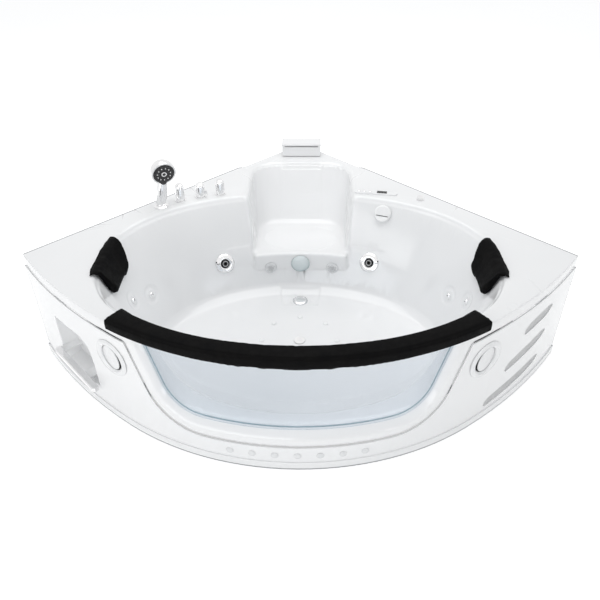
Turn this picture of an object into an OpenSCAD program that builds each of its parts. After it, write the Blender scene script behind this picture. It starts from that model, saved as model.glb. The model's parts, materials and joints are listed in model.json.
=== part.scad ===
// Corner bath with water jets, a seat in the wall corner, a glazed curved front and a removable skirt.
// The floor is z = 0. The wall corner is at the back (+Y) and the curved front faces -Y.
// Places are often given as a distance from the wall corner, measured towards the front.

/* [Plan] */
// Length of the bath along each wall
wall_len = 1500; // [1440:10:1580]
// Height of the rim above the floor
rim_h = 480; // [460:5:520]
// How far the curved front stands in front of the line through the two outer corners
front_bulge = 620; // [600:5:640]
// Radius of the middle of the curved front
front_r = 1080; // [1050:10:1140]
// Half angle of the middle arc of the front, in degrees
front_half_angle = 35; // [34:0.5:37]
// How far the skirt stands proud of the rim's lip
skirt_proud = 4; // [2:0.5:8]

/* [Shell] */
// Wall of the bath shell
shell_t = 6; // [5:0.5:7]
// Depth of the lip that hangs from the rim
lip_h = 50; // [40:2:60]
// Width of the front rim, from its edge to the basin
front_rim_w = 91; // [85:1:100]
// Half width of the basin at the rim
basin_half_w = 750; // [720:5:770]
// Length of the basin from its middle to the back, at the rim
basin_back = 530; // [505:5:540]
// Length of the basin from its middle to the front, at the rim
basin_front = 490; // [470:5:500]
// Depth of the basin below the rim
basin_depth = 405; // [385:5:415]
// Half width of the basin at the foot of its walls
foot_half_w = 580; // [560:5:600]
// Length of the basin from its middle to the back, at the foot of its walls
foot_back = 385; // [370:5:400]
// Length of the basin from its middle to the front, at the foot of its walls
foot_front = 420; // [405:5:430]
// Height of the sloping border of the basin floor
border_h = 25; // [18:1:35]
// Width of the sloping border of the basin floor
border_w = 40; // [25:1:55]
// Rounding of the rim where it turns down into the basin
rim_round = 16; // [10:1:20]

/* [Seat] */
// Height of the seat above the room's floor
seat_h = 250; // [235:5:265]
// Half width of the seat
seat_half_w = 207; // [190:1:215]
// Distance from the wall corner to the foot of the backrest
seat_back_d = 415; // [400:5:440]
// Half width of the backrest at the rim
alcove_half_w = 228; // [220:1:245]
// Distance from the wall corner to the top of the backrest
alcove_back_d = 240; // [230:5:270]
// Distance from the wall corner to the middle of the riser under the seat
riser_d = 693; // [680:1:700]
// Radius of the hollow riser under the seat
riser_r = 985; // [900:5:1100]

/* [Window] */
// Thickness of the glass
glass_t = 8; // [6:1:10]
// How deep the glass lies behind the front
glass_inset = 30; // [24:1:36]
// Half width of the glass at its top
window_top_w = 523; // [500:1:530]
// Half width of the glass at its foot
window_foot_w = 430; // [410:1:440]
// Height of the foot of the glass above the room's floor
window_foot_h = 165; // [155:1:180]
// Radius of the lower corners of the glass
window_corner_r = 140; // [100:5:160]
// Width of the moulded border round the glass
border_frame_w = 60; // [50:1:64]
// Thickness of the front rim over the glass
front_bar_t = 14; // [10:1:18]
// Width of the gap between the border and the skirt
border_gap = 3; // [2:0.5:5]
// Width of the ledge that the glass rests against
glass_ledge = 8; // [6:1:12]
// Thickness of the seal between the glass and its ledge
seal_t = 2; // [1:0.5:3]

/* [Skirt] */
// Thickness of the skirt
skirt_t = 5; // [4:0.5:6]
// Height of the plinth at the foot of the skirt
plinth_h = 35; // [25:1:45]
// How far the plinth stands proud of the skirt
plinth_proud = 4; // [2:0.5:8]
// Number of lamps along the foot of the front
led_count = 7; // [3:2:9]
// Distance between two lamps along the front
led_pitch = 78.5; // [60:0.5:80]
// Height of the lamps above the floor
led_h = 67; // [55:1:75]
// Radius of a lamp's lens
led_r = 13; // [8:0.5:16]
// Distance along the front from its middle to each loudspeaker
speaker_s = 689; // [680:1:700]
// Height of the loudspeakers above the floor
speaker_h = 322; // [310:1:330]
// Outer radius of a loudspeaker's ring
speaker_r = 75; // [66:1:78]
// Radius of the loudspeaker's cover disc
speaker_cover_r = 48; // [40:1:50]
// Tilt of the cover disc, in degrees
speaker_tilt = 8; // [4:1:10]
// Distance along the front from its middle to the niche
niche_s = 932; // [925:1:940]
// Depth of the niche
niche_depth = 72; // [50:1:85]
// Wall of the niche
niche_t = 4; // [3:0.5:5]
// Width of the decorative slots in the skirt
slot_w = 46; // [38:1:50]

/* [Towel rail] */
// Length of the towel rail
rail_len = 262; // [240:2:275]
// Depth of the towel rail
rail_deep = 26; // [20:1:30]
// Height of the towel rail's section
rail_high = 20; // [16:1:26]
// Gap between the skirt and the towel rail
rail_gap = 8; // [6:1:12]
// Height of the middle of the rail above the floor
rail_h = 138; // [130:1:150]
// Slope of the towel rail, in degrees
rail_slope = 10.5; // [8:0.5:12]

/* [Cushion and pillows] */
// Radius of the cushion's inner edge
cushion_r = 1055; // [1040:5:1070]
// Depth of the cushion from its inner to its outer edge
cushion_deep = 91; // [85:1:95]
// How far the cushion hangs over the front of the rim's lip
cushion_over = 16; // [13:1:20]
// Thickness of the cushion above the rim
cushion_t = 27; // [20:1:35]
// How far the cushion hangs down in front of the rim
cushion_drop = 12; // [8:1:16]
// Half angle that the cushion spans, in degrees
cushion_half_angle = 33.3; // [30:0.1:34]
// Thickness of the pillows
pillow_t = 27; // [20:1:32]
// Length of the pillows down the basin wall
pillow_drop = 108; // [90:2:120]
// Width of the pillows on the rim
pillow_on_rim = 17; // [15:1:30]

/* [Deck fittings] */
// Distance of the deck fittings from the basin's edge
deck_offset = 58; // [52:1:66]
// Sideways place of the hand shower
shower_x = -597; // [-605:1:-585]
// Sideways places of the three taps
tap_x = [-521, -438, -354]; // [-605:1:-330]
// Heights of the three taps above the rim
tap_high = [78, 66, 70]; // [60:1:85]
// Radius of a tap's handle
tap_r = 19.5; // [17:0.5:21]
// Height of the neck that carries a tap's handle
tap_neck_h = 14; // [12:1:20]
// Radius of the taps' threaded tails
tap_tail_r = 10.48; // [8:0.01:11]
// Sideways place of the control panel
panel_x = 333; // [325:1:345]
// Length of the control panel
panel_len = 190; // [180:1:200]
// Width of the control panel
panel_wide = 36; // [32:1:44]
// Thickness of the control panel
panel_t = 6; // [5:0.5:8]
// Radius of the panel's push buttons
button_r = 7; // [5:0.5:8]
// Travel of the push buttons
button_travel = 1.5; // [1:0.1:2]
// Sideways place of the air valve
air_valve_x = 520; // [510:1:535]
// Radius of the air valve's knob
air_knob_r = 14.5; // [12:0.5:17]
// Width of the waterfall spout
spout_wide = 186; // [170:1:190]
// Depth of the waterfall spout
spout_deep = 70; // [60:1:75]
// Height of the waterfall spout above the rim
spout_high = 60; // [50:1:70]
// Distance from the wall corner to the back of the waterfall spout
spout_back_d = 97; // [96:1:105]
// Height of the spout's outlet slot
spout_slot = 6; // [5:0.1:8]

/* [Hand shower] */
// Radius of the shower head
head_r = 53; // [48:1:56]
// Radius of the dark spray face
face_r = 45; // [40:1:46]
// Height of the middle of the head above the rim
head_h = 158; // [150:1:170]
// How far the handle leans to the right, in degrees
handle_lean = 11; // [0:1:14]
// Radius of the handle at its thickest
handle_r = 25; // [22:0.5:27]
// Compass direction in which the head looks, in degrees from +X
head_turn = -64; // [-80:1:-50]
// How far the head looks down, in degrees
head_dip = 13; // [5:1:20]
// Radius of the shower holder
holder_r = 31; // [28:1:34]

/* [Water fittings] */
// Radius of the large jets' rings
jet_r = 43; // [38:1:46]
// Radius of the large jets' swivelling balls
ball_r = 20; // [18:0.5:22]
// Places of the large jets: angle round the basin and height
left_jet = [122, 222]; // [116:1:226]
right_jet = [61, 222]; // [58:1:226]
// Places of the four small side jets: angle round the basin and height
side_jets = [[16, 232], [2, 280], [164, 232], [178, 280]]; // [0:1:300]
// Radius of the small side jets
side_jet_r = 16; // [13:0.5:18]
// Height of the lamp in the riser
lamp_h = 197; // [194:1:200]
// Radius of the lamp in the riser
lamp_r = 42; // [38:1:43]
// Height of the two suction fittings
suction_h = 180; // [175:1:185]
// Radius of the suction fittings' covers
suction_r = 27; // [24:1:30]
// Sideways places of the suction fittings
suction_x = [-134, 144]; // [-150:1:150]
// Place of the overflow: angle round the basin
overflow_angle = 62; // [60:1:64]
// Height of the overflow's middle below the rim
overflow_below_rim = 52; // [50:1:60]
// Radius of the overflow's knob
overflow_r = 37; // [33:1:39]
// Distance from the riser to the drain
drain_from_riser = 119; // [115:1:127]
// Radius of the drain's flange
drain_r = 34; // [31:1:36]
// Radius of the waste pipe
waste_r = 20; // [16:0.5:21]
// Distance from the drain to the middle of the ring of air jets
ring_from_drain = 273; // [265:1:281]
// Radius of the ring of air jets
air_ring_r = 156; // [145:1:165]
// Number of air jets in the floor
air_jet_count = 8; // [4:4:12]

/* [Frame] */
// Width of the steel tube of the frame
tube_w = 25; // [20:1:30]
// Gap between the frame and the room's walls
wall_gap = 5; // [4:0.5:8]
// Radius of a levelling foot
foot_r = 24; // [20:1:28]

/* [Hidden] */

// Fine steps for round pieces, and a small clearance between pieces that don't touch
$fn = 48;
clear = 0.3;
skin = 0.02;

// Plan of the bath. Distances d run from the wall corner towards the front.
half_wide = wall_len / sqrt(2);
front_d = half_wide + front_bulge;
middle_d = (front_d + cushion_over) / 2;
front_c = front_d - front_r;
join_x = front_r * sin(front_half_angle);
join_d = front_c + front_r * cos(front_half_angle);
chord_angle = atan2(join_d - half_wide, half_wide - join_x);
side_turn = chord_angle - front_half_angle;
side_r = norm([half_wide - join_x, join_d - half_wide]) / (2 * sin(side_turn));
side_cx = join_x - side_r * sin(front_half_angle);
side_cd = join_d - side_r * cos(front_half_angle);
join_s = front_r * front_half_angle * PI / 180;

// Height of things that follow from the rim and the basin
lip_z = rim_h - lip_h;
floor_z = rim_h - basin_depth;
under_z = floor_z - shell_t - 2;
drain_d = riser_d + drain_from_riser;
air_ring_d = drain_d + ring_from_drain;
foot_z = floor_z + border_h;
basin_d = front_d - front_rim_w - basin_front;

// World y of a distance from the wall corner
function wy(d) = middle_d - d;

// Where a straight wall, moved in by wall_in, meets the side arc moved in by inset
function corner_x(inset, wall_in) =
  let (e = wall_in * sqrt(2), q = e - side_cd, r = side_r - inset,
       b = q - side_cx, c = side_cx * side_cx + q * q - r * r)
  (-b + sqrt(b * b - 2 * c)) / 2;

// Points of the right side arc, from the join to the corner
function side_arc(inset, wall_in, steps = 8) =
  let (x1 = corner_x(inset, wall_in),
       a1 = asin((x1 - side_cx) / (side_r - inset)))
  [for (i = [0:steps])
    let (a = front_half_angle + (a1 - front_half_angle) * i / steps)
    [side_cx + (side_r - inset) * sin(a), side_cd + (side_r - inset) * cos(a)]];

function mirror_pts(pts) = [for (i = [len(pts) - 1:-1:0]) [-pts[i][0], pts[i][1]]];

// Points of the whole front, from the left corner to the right corner, as [x, d]
function front_pts(inset, wall_in = 0) =
  concat(
    mirror_pts(side_arc(inset, wall_in)),
    [for (i = [-13:13])
      let (a = front_half_angle * i / 14)
      [(front_r - inset) * sin(a), front_c + (front_r - inset) * cos(a)]],
    side_arc(inset, wall_in));

function to_world(pts) = [for (p = pts) [p[0], wy(p[1])]];
function turn_back(pts) = [for (i = [len(pts) - 1:-1:0]) pts[i]];

// The whole plan of the bath
module plan(inset, wall_in = 0)
  polygon(to_world(concat([[0, wall_in * sqrt(2)]], front_pts(inset, wall_in))));

// A curved strip along the front, between two insets
module front_band(inset_a, inset_b, z0, z1)
  translate([0, 0, z0]) linear_extrude(z1 - z0)
    polygon(to_world(concat(front_pts(inset_a), turn_back(front_pts(inset_b)))));

// A curved wall along the middle arc of the front, between two insets
module arc_wall(inset_a, inset_b, z0, z1)
  translate([0, wy(front_c), z0]) difference() {
    cylinder(h = z1 - z0, r = front_r - inset_a, $fn = 240);
    translate([0, 0, -1]) cylinder(h = z1 - z0 + 2, r = front_r - inset_b, $fn = 240);
  }

// Direction in which the front faces at the arc length s from its middle
function front_dir(s) =
  sign(s) * (abs(s) < join_s
    ? abs(s) / front_r * 180 / PI
    : front_half_angle + (abs(s) - join_s) / side_r * 180 / PI);

function front_at(s, inset = 0) =
  let (a = abs(front_dir(s)))
  abs(s) < join_s
    ? [sign(s) * (front_r - inset) * sin(a), wy(front_c + (front_r - inset) * cos(a))]
    : [sign(s) * (side_cx + (side_r - inset) * sin(a)), wy(side_cd + (side_r - inset) * cos(a))];

// Puts things on the front: x along the front, y up, z outwards
module on_front(s, z, inset = 0) {
  p = front_at(s, inset);
  translate([p[0], p[1], z]) rotate([90, 0, front_dir(s)]) children();
}

// Basin walls: plan shape and size at a height
function share(z) = (rim_h - z) / (rim_h - foot_z);
function bend(z) = 2.2 - 0.3 * share(z);
function half_w(z) = basin_half_w + (foot_half_w - basin_half_w) * share(z);
function back_l(z) = basin_back + (foot_back - basin_back) * share(z);
front_knee_z = foot_z + 50;
function front_l(z) =
  z > front_knee_z
    ? basin_front - 10 * (rim_h - z) / (rim_h - front_knee_z)
    : foot_front + (basin_front - 10 - foot_front) * (z - foot_z) / (front_knee_z - foot_z);
function root(v, n) = sign(v) * pow(abs(v), 2 / n);

function basin_pt(a, z, grow = 0, w = undef, b = undef, f = undef) =
  let (n = bend(z),
       hw = (is_undef(w) ? half_w(z) : w) + grow,
       hb = (is_undef(b) ? back_l(z) : b) + grow,
       hf = (is_undef(f) ? front_l(z) : f) + grow)
  [hw * root(cos(a), n), wy(basin_d) + (sin(a) > 0 ? hb : hf) * root(sin(a), n)];

ring_steps = 96;
function basin_ring(z, at_z, grow = 0, w = undef, b = undef, f = undef) =
  [for (i = [0:ring_steps - 1])
    let (p = basin_pt(360 * i / ring_steps, z, grow, w, b, f))
    [p[0], p[1], at_z]];

// Rings of the basin from the floor up, made larger all round by grow
function basin_rings(grow) =
  let (drop = grow > 0 ? grow + 2 : 0)
  [basin_ring(foot_z, floor_z - drop, grow, foot_half_w - border_w * 0.7,
     foot_back - border_w * 1.25, foot_front - border_w * 2),
   basin_ring(foot_z, foot_z - drop / 2, grow),
   basin_ring(front_knee_z, front_knee_z, grow),
   basin_ring(foot_z + 150, foot_z + 150, grow),
   basin_ring(foot_z + 255, foot_z + 255, grow),
   basin_ring(rim_h - rim_round, rim_h - rim_round, grow)];

function rim_rings() =
  [for (i = [1:4])
    let (a = 90 * i / 4)
    basin_ring(rim_h, rim_h - rim_round * (1 - sin(a)), rim_round * (1 - cos(a)))];

// A closed solid through a stack of rings, each anticlockwise from above
module loft(rings) {
  n = len(rings[0]);
  m = len(rings);
  sides = [for (k = [0:m - 2], i = [0:n - 1]) each
    [[k * n + i, (k + 1) * n + i, (k + 1) * n + (i + 1) % n],
     [k * n + i, (k + 1) * n + (i + 1) % n, k * n + (i + 1) % n]]];
  foot = [for (i = [0:n - 1]) i];
  top = [for (i = [n - 1:-1:0]) (m - 1) * n + i];
  polyhedron([for (r = rings) each r], concat([foot], sides, [top]));
}

function raised(ring, z) = [for (p = ring) [p[0], p[1], z]];

module basin_void() {
  rims = rim_rings();
  loft(concat(basin_rings(0), rims, [raised(rims[3], rim_h + 20)]));
}

// Underside of the rounded rim: height and growth at the angle a round its centre
function under_rim_z(a) = rim_h - rim_round + (rim_round - shell_t) * sin(a);
function under_rim_g(a) = rim_round - (rim_round - shell_t) * cos(a);
module basin_skin()
  loft(concat(basin_rings(shell_t),
    [for (a = [30, 60, 90]) basin_ring(rim_h, under_rim_z(a), under_rim_g(a))],
    [basin_ring(rim_h, rim_h - 1, rim_round)]));

// Seat and backrest: a U shape in plan, open to the basin
alcove_open_d = 900;
function u_ring(z, half, back_d, r, open_d) =
  concat(
    [[half, wy(open_d), z]],
    [for (i = [0:6]) [half - r + r * cos(15 * i), wy(back_d + r) + r * sin(15 * i), z]],
    [for (i = [0:6]) [-half + r + r * cos(90 + 15 * i), wy(back_d + r) + r * sin(90 + 15 * i), z]],
    [[-half, wy(open_d), z]]);

function seat_rings(grow) =
  let (d = grow, top = alcove_back_d, foot = seat_back_d,
       run = foot - top, tall = rim_h - seat_h,
       open_d = grow > 0 ? riser_d - 1 : alcove_open_d)
  [u_ring(seat_h - d, seat_half_w - 10 + d, foot + 18 - d, 90 + d, open_d),
   u_ring(seat_h + 8 - d * 0.5, seat_half_w + d, foot - d, 98 + d, open_d),
   u_ring(seat_h + 30, seat_half_w + 4 + d, foot - 22 - d, 102 + d, open_d),
   u_ring(seat_h + tall * 0.5, (seat_half_w + alcove_half_w) / 2 + d, foot - 22 - run * 0.42 - d,
     108 + d, open_d),
   u_ring(rim_h - rim_round, alcove_half_w + d, top + 2 - d, 112 + d, open_d)];

module seat_void() {
  top = [for (i = [1:3])
    let (a = 30 * i, g = rim_round * (1 - cos(a)))
    u_ring(rim_h - rim_round * (1 - sin(a)), alcove_half_w + g, alcove_back_d + 2 - g, 112 + g,
      alcove_open_d)];
  loft(concat(seat_rings(0), top, [raised(top[2], rim_h + 20)]));
}

module seat_skin()
  loft(concat(seat_rings(shell_t),
    [for (a = [30, 60, 90, 100])
      let (g = under_rim_g(min(a, 90)), z = a > 90 ? rim_h - 1 : under_rim_z(a))
      u_ring(z, alcove_half_w + g, alcove_back_d + 2 - g, 112 + g, riser_d - 1)]));

// Hollow riser under the seat, moved back by inset
riser_c = riser_d + riser_r;
module riser_block(inset = 0)
  difference() {
    translate([-seat_half_w + inset, wy(alcove_open_d - 20), 0])
      cube([2 * (seat_half_w - inset), 400, seat_h - inset]);
    translate([0, wy(riser_c), -1]) cylinder(h = seat_h + 2, r = riser_r + inset, $fn = 360);
  }

// Outline of the window, grown by g: straight sides that lean out, round lower corners
window_top_h = rim_h - front_bar_t;
lean = atan2(window_top_w - window_foot_w, window_top_h - window_foot_h);
function window_pts(g, top = window_top_h) =
  let (wb = window_foot_w + g / cos(lean) - g * tan(lean), zb = window_foot_h - g,
       r = window_corner_r + g, cut = r * tan((90 - lean) / 2),
       wt = wb + (top - zb) * tan(lean),
       arc = [for (i = [0:8])
         let (a = -90 + (90 - lean) * i / 8)
         [wb - cut + r * cos(a), zb + r + r * sin(a)]])
  concat(arc, [[wt, top], [-wt, top]], mirror_pts(arc));

module window_prism(g, top = window_top_h, d0 = 0, d1 = 60)
  translate([0, wy(front_d - 400 + d0), 0]) rotate([90, 0, 0])
    linear_extrude(400 - d0 + d1) polygon(window_pts(g, top));

// Lower edge of the window's outline, grown by g, at a share t of its half width
function window_half(g) =
  let (zb = window_foot_h - g)
  window_foot_w + g / cos(lean) - g * tan(lean) + (window_top_h - zb) * tan(lean);
function window_low(g, x) =
  let (wb = window_foot_w + g / cos(lean) - g * tan(lean), zb = window_foot_h - g,
       r = window_corner_r + g, c = wb - r * tan((90 - lean) / 2), a = abs(x))
  a < c ? zb
  : a < c + r * cos(lean) ? zb + r - sqrt(r * r - (a - c) * (a - c))
  : zb + (a - wb) / tan(lean);
function window_column(g, inset, t) =
  let (x = window_half(g) * t, y = wy(front_c + sqrt((front_r - inset) * (front_r - inset) - x * x)))
  [[x, y, min(window_low(g, x), window_top_h - 0.5)], [x, y, window_top_h]];

// Slope from the front's face down to the glass. Each end is [growth, inset]
bevel_w = 22;
bevel_front = [bevel_w * 1.3, skirt_proud - 6];
bevel_back = [clear, glass_inset - 2];
bevel_run = (bevel_front[0] - bevel_back[0]) / (bevel_back[1] - bevel_front[1]);
bevel_wall = shell_t * sqrt(1 + bevel_run * bevel_run);
module window_slope(front_end, back_end) {
  steps = 48;
  columns = [for (i = [0:steps])
    let (t = 2 * i / steps - 1,
         front = window_column(front_end[0], front_end[1], t),
         back = window_column(back_end[0], back_end[1], t))
    [front[0], front[1], back[1], back[0]]];
  loft(turn_back(columns));
}
module window_bevel() window_slope(bevel_front, bevel_back);
// The shell's wall behind that slope
module bevel_backing()
  window_slope(
    [bevel_front[0] - bevel_run * (skirt_proud + 1 - bevel_front[1]) + bevel_wall, skirt_proud + 1],
    [bevel_back[0] + bevel_wall, bevel_back[1]]);
// The strip that closes the gap round the border from behind
gap_strip = [5, 4, 4];
module gap_backing()
  intersection() {
    arc_wall(skirt_proud + shell_t - 0.5, skirt_proud + shell_t + gap_strip[2], floor_z, rim_h);
    difference() {
      window_prism(border_frame_w + gap_strip[1], rim_h);
      window_prism(border_frame_w - border_gap - gap_strip[0], rim_h + 5);
    }
  }

// Puts things on the basin wall at an angle and height: z points into the basin
function wall_p(a, z) = let (p = basin_pt(a, z)) [p[0], p[1], z];
function wall_n(a, z) =
  let (u = wall_p(a + 0.5, z) - wall_p(a - 0.5, z), v = wall_p(a, z + 1) - wall_p(a, z - 1),
       c = cross(v, u))
  c / norm(c);
module on_wall(a, z) {
  n = wall_n(a, z);
  translate(wall_p(a, z)) rotate([0, acos(n[2]), atan2(n[1], n[0])]) children();
}

// Puts things on the hollow riser at a sideways place and height
module on_riser(x, z) {
  translate([x, wy(riser_c - sqrt(riser_r * riser_r - x * x)), z])
    rotate([90, 0, -asin(x / riser_r)]) children();
}

// Depth of the flat seats that are let into the curved walls
pad_deep = 1.2;
jet_barrel_r = 24;
side_barrel_r = 10;
suction_barrel_r = 20;
lamp_barrel_r = 34;
overflow_barrel_r = 22;
drain_barrel_r = 24;
air_barrel_r = 6;
floor_lamp_r = 20;
jets = [left_jet, right_jet];
overflow_z = rim_h - overflow_below_rim;
air_jet_places = [for (i = [0:air_jet_count - 1])
  let (a = 360 * i / air_jet_count)
  [air_ring_r * sin(a), air_ring_d - air_ring_r * cos(a)]];

// Deck fittings follow the back edge of the basin
function deck_d(x, off) =
  basin_d - (basin_back + off) * pow(1 - pow(abs(x) / (basin_half_w + off), 2.2), 1 / 2.2);
shower_d = deck_d(shower_x, deck_offset);
function tap_at(i) = [tap_x[i], wy(deck_d(tap_x[i], deck_offset - 5 * i)), rim_h];
tap_barrel_r = 14;
air_valve_at = [air_valve_x, wy(deck_d(air_valve_x, deck_offset + 10)), rim_h];
air_valve_barrel_r = 11;
panel_turn = -8;
panel_at = [panel_x, wy(deck_d(panel_x, deck_offset - 3)), rim_h];
handle_foot_r = 18;

module flat_pad(r) translate([0, 0, -pad_deep]) cylinder(h = 40, r = r + clear);
module bore_through(r) translate([0, 0, -60]) cylinder(h = 120, r = r + clear);

module wall_cuts() {
  for (j = jets) on_wall(j[0], j[1]) {
    flat_pad(jet_r);
    bore_through(jet_barrel_r);
  }
  for (j = side_jets) on_wall(j[0], j[1]) {
    flat_pad(side_jet_r);
    translate([0, 0, -30]) cylinder(h = 60, r = side_barrel_r + clear);
  }
  on_wall(overflow_angle, overflow_z) {
    flat_pad(overflow_r);
    translate([0, 0, -30]) cylinder(h = 60, r = overflow_barrel_r + clear);
  }
  for (x = suction_x) on_riser(x, suction_h) {
    flat_pad(suction_r);
    translate([0, 0, -30]) cylinder(h = 60, r = suction_barrel_r + clear);
  }
  on_riser(0, lamp_h) {
    flat_pad(lamp_r);
    translate([0, 0, -30]) cylinder(h = 60, r = lamp_barrel_r + clear);
  }
}

module floor_cuts() {
  translate([0, wy(drain_d), floor_z - 20]) cylinder(h = 40, r = drain_barrel_r + clear);
  translate([0, wy(drain_d), floor_z - 3]) cylinder(h = 20, r = drain_r + clear);
  for (p = air_jet_places)
    translate([p[0], wy(p[1]), floor_z - 20]) cylinder(h = 40, r = air_barrel_r + clear);
  translate([0, wy(air_ring_d), floor_z - 20]) cylinder(h = 40, r = floor_lamp_r + clear);
}

module deck_cuts() {
  for (i = [0:2]) translate(tap_at(i) - [0, 0, 30]) cylinder(h = 60, r = tap_barrel_r + clear);
  translate(air_valve_at - [0, 0, 30]) cylinder(h = 60, r = air_valve_barrel_r + clear);
  translate([shower_x, wy(shower_d), rim_h - 30]) cylinder(h = 60, r = handle_foot_r + 3 + clear);
}

module tub_shell()
  color("white") difference() {
    union() {
      translate([0, 0, rim_h - shell_t]) linear_extrude(shell_t) plan(skirt_proud);
      difference() {
        translate([0, 0, lip_z]) linear_extrude(lip_h) difference() {
          plan(skirt_proud);
          plan(skirt_proud + shell_t, shell_t);
        }
        window_prism(border_frame_w, rim_h + 5);
      }
      difference() {
        basin_skin();
        riser_block(shell_t);
      }
      seat_skin();
      intersection() {
        arc_wall(skirt_proud, skirt_proud + shell_t, floor_z, rim_h);
        window_prism(border_frame_w - border_gap, rim_h);
      }
      intersection() {
        arc_wall(skirt_proud, 150, floor_z, rim_h);
        window_prism(shell_t, rim_h);
      }
      bevel_backing();
      gap_backing();
    }
    difference() {
      basin_void();
      riser_block();
    }
    seat_void();
    window_prism(-glass_ledge, d0 = 30);
    intersection() {
      arc_wall(-20, glass_inset + glass_t + seal_t, 0, rim_h);
      window_prism(clear);
    }
    window_bevel();
    wall_cuts();
    floor_cuts();
    deck_cuts();
  }

// Niche: outline on the skirt and outline of its back, as [along, up]
niche_side = 131;
niche_front = [[-131, 323], [70, 330], [118, 302], [131, 240], [132, 109], [90, 98], [-131, 84]];
niche_back = [[-124, 296], [10, 290], [52, 240], [76, 130], [60, 112], [-124, 104]];
module niche_form(grow, deep, out)
  on_front(-niche_s, 0) hull() {
    translate([0, 0, out]) linear_extrude(0.5)
      polygon([for (p = niche_front) [p[0] + sign(p[0]) * grow, p[1] + (p[1] > 200 ? grow : -grow)]]);
    translate([0, 0, -deep]) linear_extrude(0.5)
      polygon([for (p = niche_back) [p[0] + sign(p[0]) * grow, p[1] + (p[1] > 200 ? grow : -grow)]]);
  }

// Slots: [start along the front, height there, end along the front, height there]
slots = [[908, 334, 1099, 350], [827, 200, 1091, 236], [739, 76, 1086, 108]];
module slot_prism(k, grow) {
  s = slots[k];
  run = s[2] - s[0];
  rise = s[3] - s[1];
  long = norm([run, rise]) / 2;
  w = slot_w / 2 + grow;
  on_front((s[0] + s[2]) / 2, (s[1] + s[3]) / 2) rotate(atan2(rise, run))
    translate([0, 0, -30]) linear_extrude(60)
      polygon([[-long - grow, -w * 0.5], [-long + 8, -w], [long * 0.5, -w], [long - 25, -w * 0.75],
               [long + grow, -w * 0.1], [long - 4, w * 0.5], [long - 35, w], [-long * 0.4, w],
               [-long + 25, w * 0.75], [-long + 4 - grow, w * 0.2]]);
}

speaker_hole_r = 56;
speaker_back = 12 - clear;
module skirt_panel()
  color("white") difference() {
    union() {
      difference() {
        union() {
          front_band(0, skirt_t, 0, lip_z);
          front_band(-plinth_proud, skirt_t, 0, plinth_h);
        }
        niche_form(-niche_t, niche_depth - niche_t, 12);
      }
      intersection() {
        niche_form(0, niche_depth, 12);
        translate([0, 0, plinth_h]) linear_extrude(lip_z - plinth_h) plan(skirt_t - 0.5);
      }
    }
    niche_form(-niche_t, niche_depth - niche_t, 14);
    window_prism(border_frame_w, rim_h);
    for (k = [0:2]) slot_prism(k, 0);
    for (side = [-1, 1]) on_front(side * speaker_s, speaker_h)
      translate([0, 0, -30]) cylinder(h = 60, r = speaker_hole_r);
    for (i = [0:led_count - 1]) on_front((i - (led_count - 1) / 2) * led_pitch, led_h)
      translate([0, 0, -30]) cylinder(h = 60, r = led_r - 2);
  }

module slot_inlays()
  color("silver") for (k = [0:2]) {
    intersection() {
      front_band(skirt_t - 2, skirt_t + clear + 1, 0, lip_z);
      slot_prism(k, -clear);
    }
    intersection() {
      front_band(skirt_t + clear, skirt_t + 2 + clear, 0, lip_z);
      slot_prism(k, 5);
    }
  }

module window_glass()
  color([0.75, 0.87, 0.92, 0.5]) intersection() {
    arc_wall(glass_inset, glass_inset + glass_t, 0, rim_h);
    window_prism(-clear);
  }

module window_seal()
  color("dimgray") difference() {
    intersection() {
      arc_wall(glass_inset + glass_t, glass_inset + glass_t + seal_t, 0, rim_h);
      window_prism(0);
    }
    window_prism(1 - glass_ledge);
  }

spout_z = rim_h + spout_high;
spout_cap = 8;
module spout_plan(grow)
  translate([-spout_wide / 2 - grow, wy(spout_back_d + spout_deep) - grow])
    square([spout_wide + 2 * grow, spout_deep + grow]);
module waterfall_body()
  color("white") difference() {
    translate([0, 0, rim_h]) linear_extrude(spout_high - spout_cap) spout_plan(0);
    translate([-spout_wide / 2 + 8, wy(spout_back_d + spout_deep - 8), rim_h + 6])
      cube([spout_wide - 16, spout_deep - 16, spout_high]);
    translate([-spout_wide / 2 + 12, wy(spout_back_d + spout_deep) - 5, spout_z - spout_cap - spout_slot])
      cube([spout_wide - 24, 30, spout_high]);
  }
module waterfall_cover()
  color("white") difference() {
    translate([0, 0, spout_z - spout_cap]) linear_extrude(spout_cap) spout_plan(2);
    for (side = [-1, 1]) translate([side * (spout_wide / 2 + 2), 0, spout_z]) rotate([90, 0, 0])
      rotate(45) cube([6, 6, 1000], center = true);
  }

// Hand shower: it stands in a holder on the left deck
module at_shower() translate([shower_x, wy(shower_d), rim_h]) children();
holder_h = 9;
holder_bore_r = handle_foot_r + 0.06;
module shower_holder()
  color("gainsboro") at_shower() difference() {
    union() {
      rotate_extrude()
        polygon([[0, 0], [holder_r, 0], [holder_r, 3], [holder_r - 6, 7], [24, holder_h], [0, holder_h]]);
      translate([0, 0, -40]) cylinder(h = 45, r = handle_foot_r + 3);
    }
    translate([0, 0, -34]) cylinder(h = 60, r = holder_bore_r);
    translate([0, 0, -50]) cylinder(h = 60, r = 8);
  }

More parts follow.
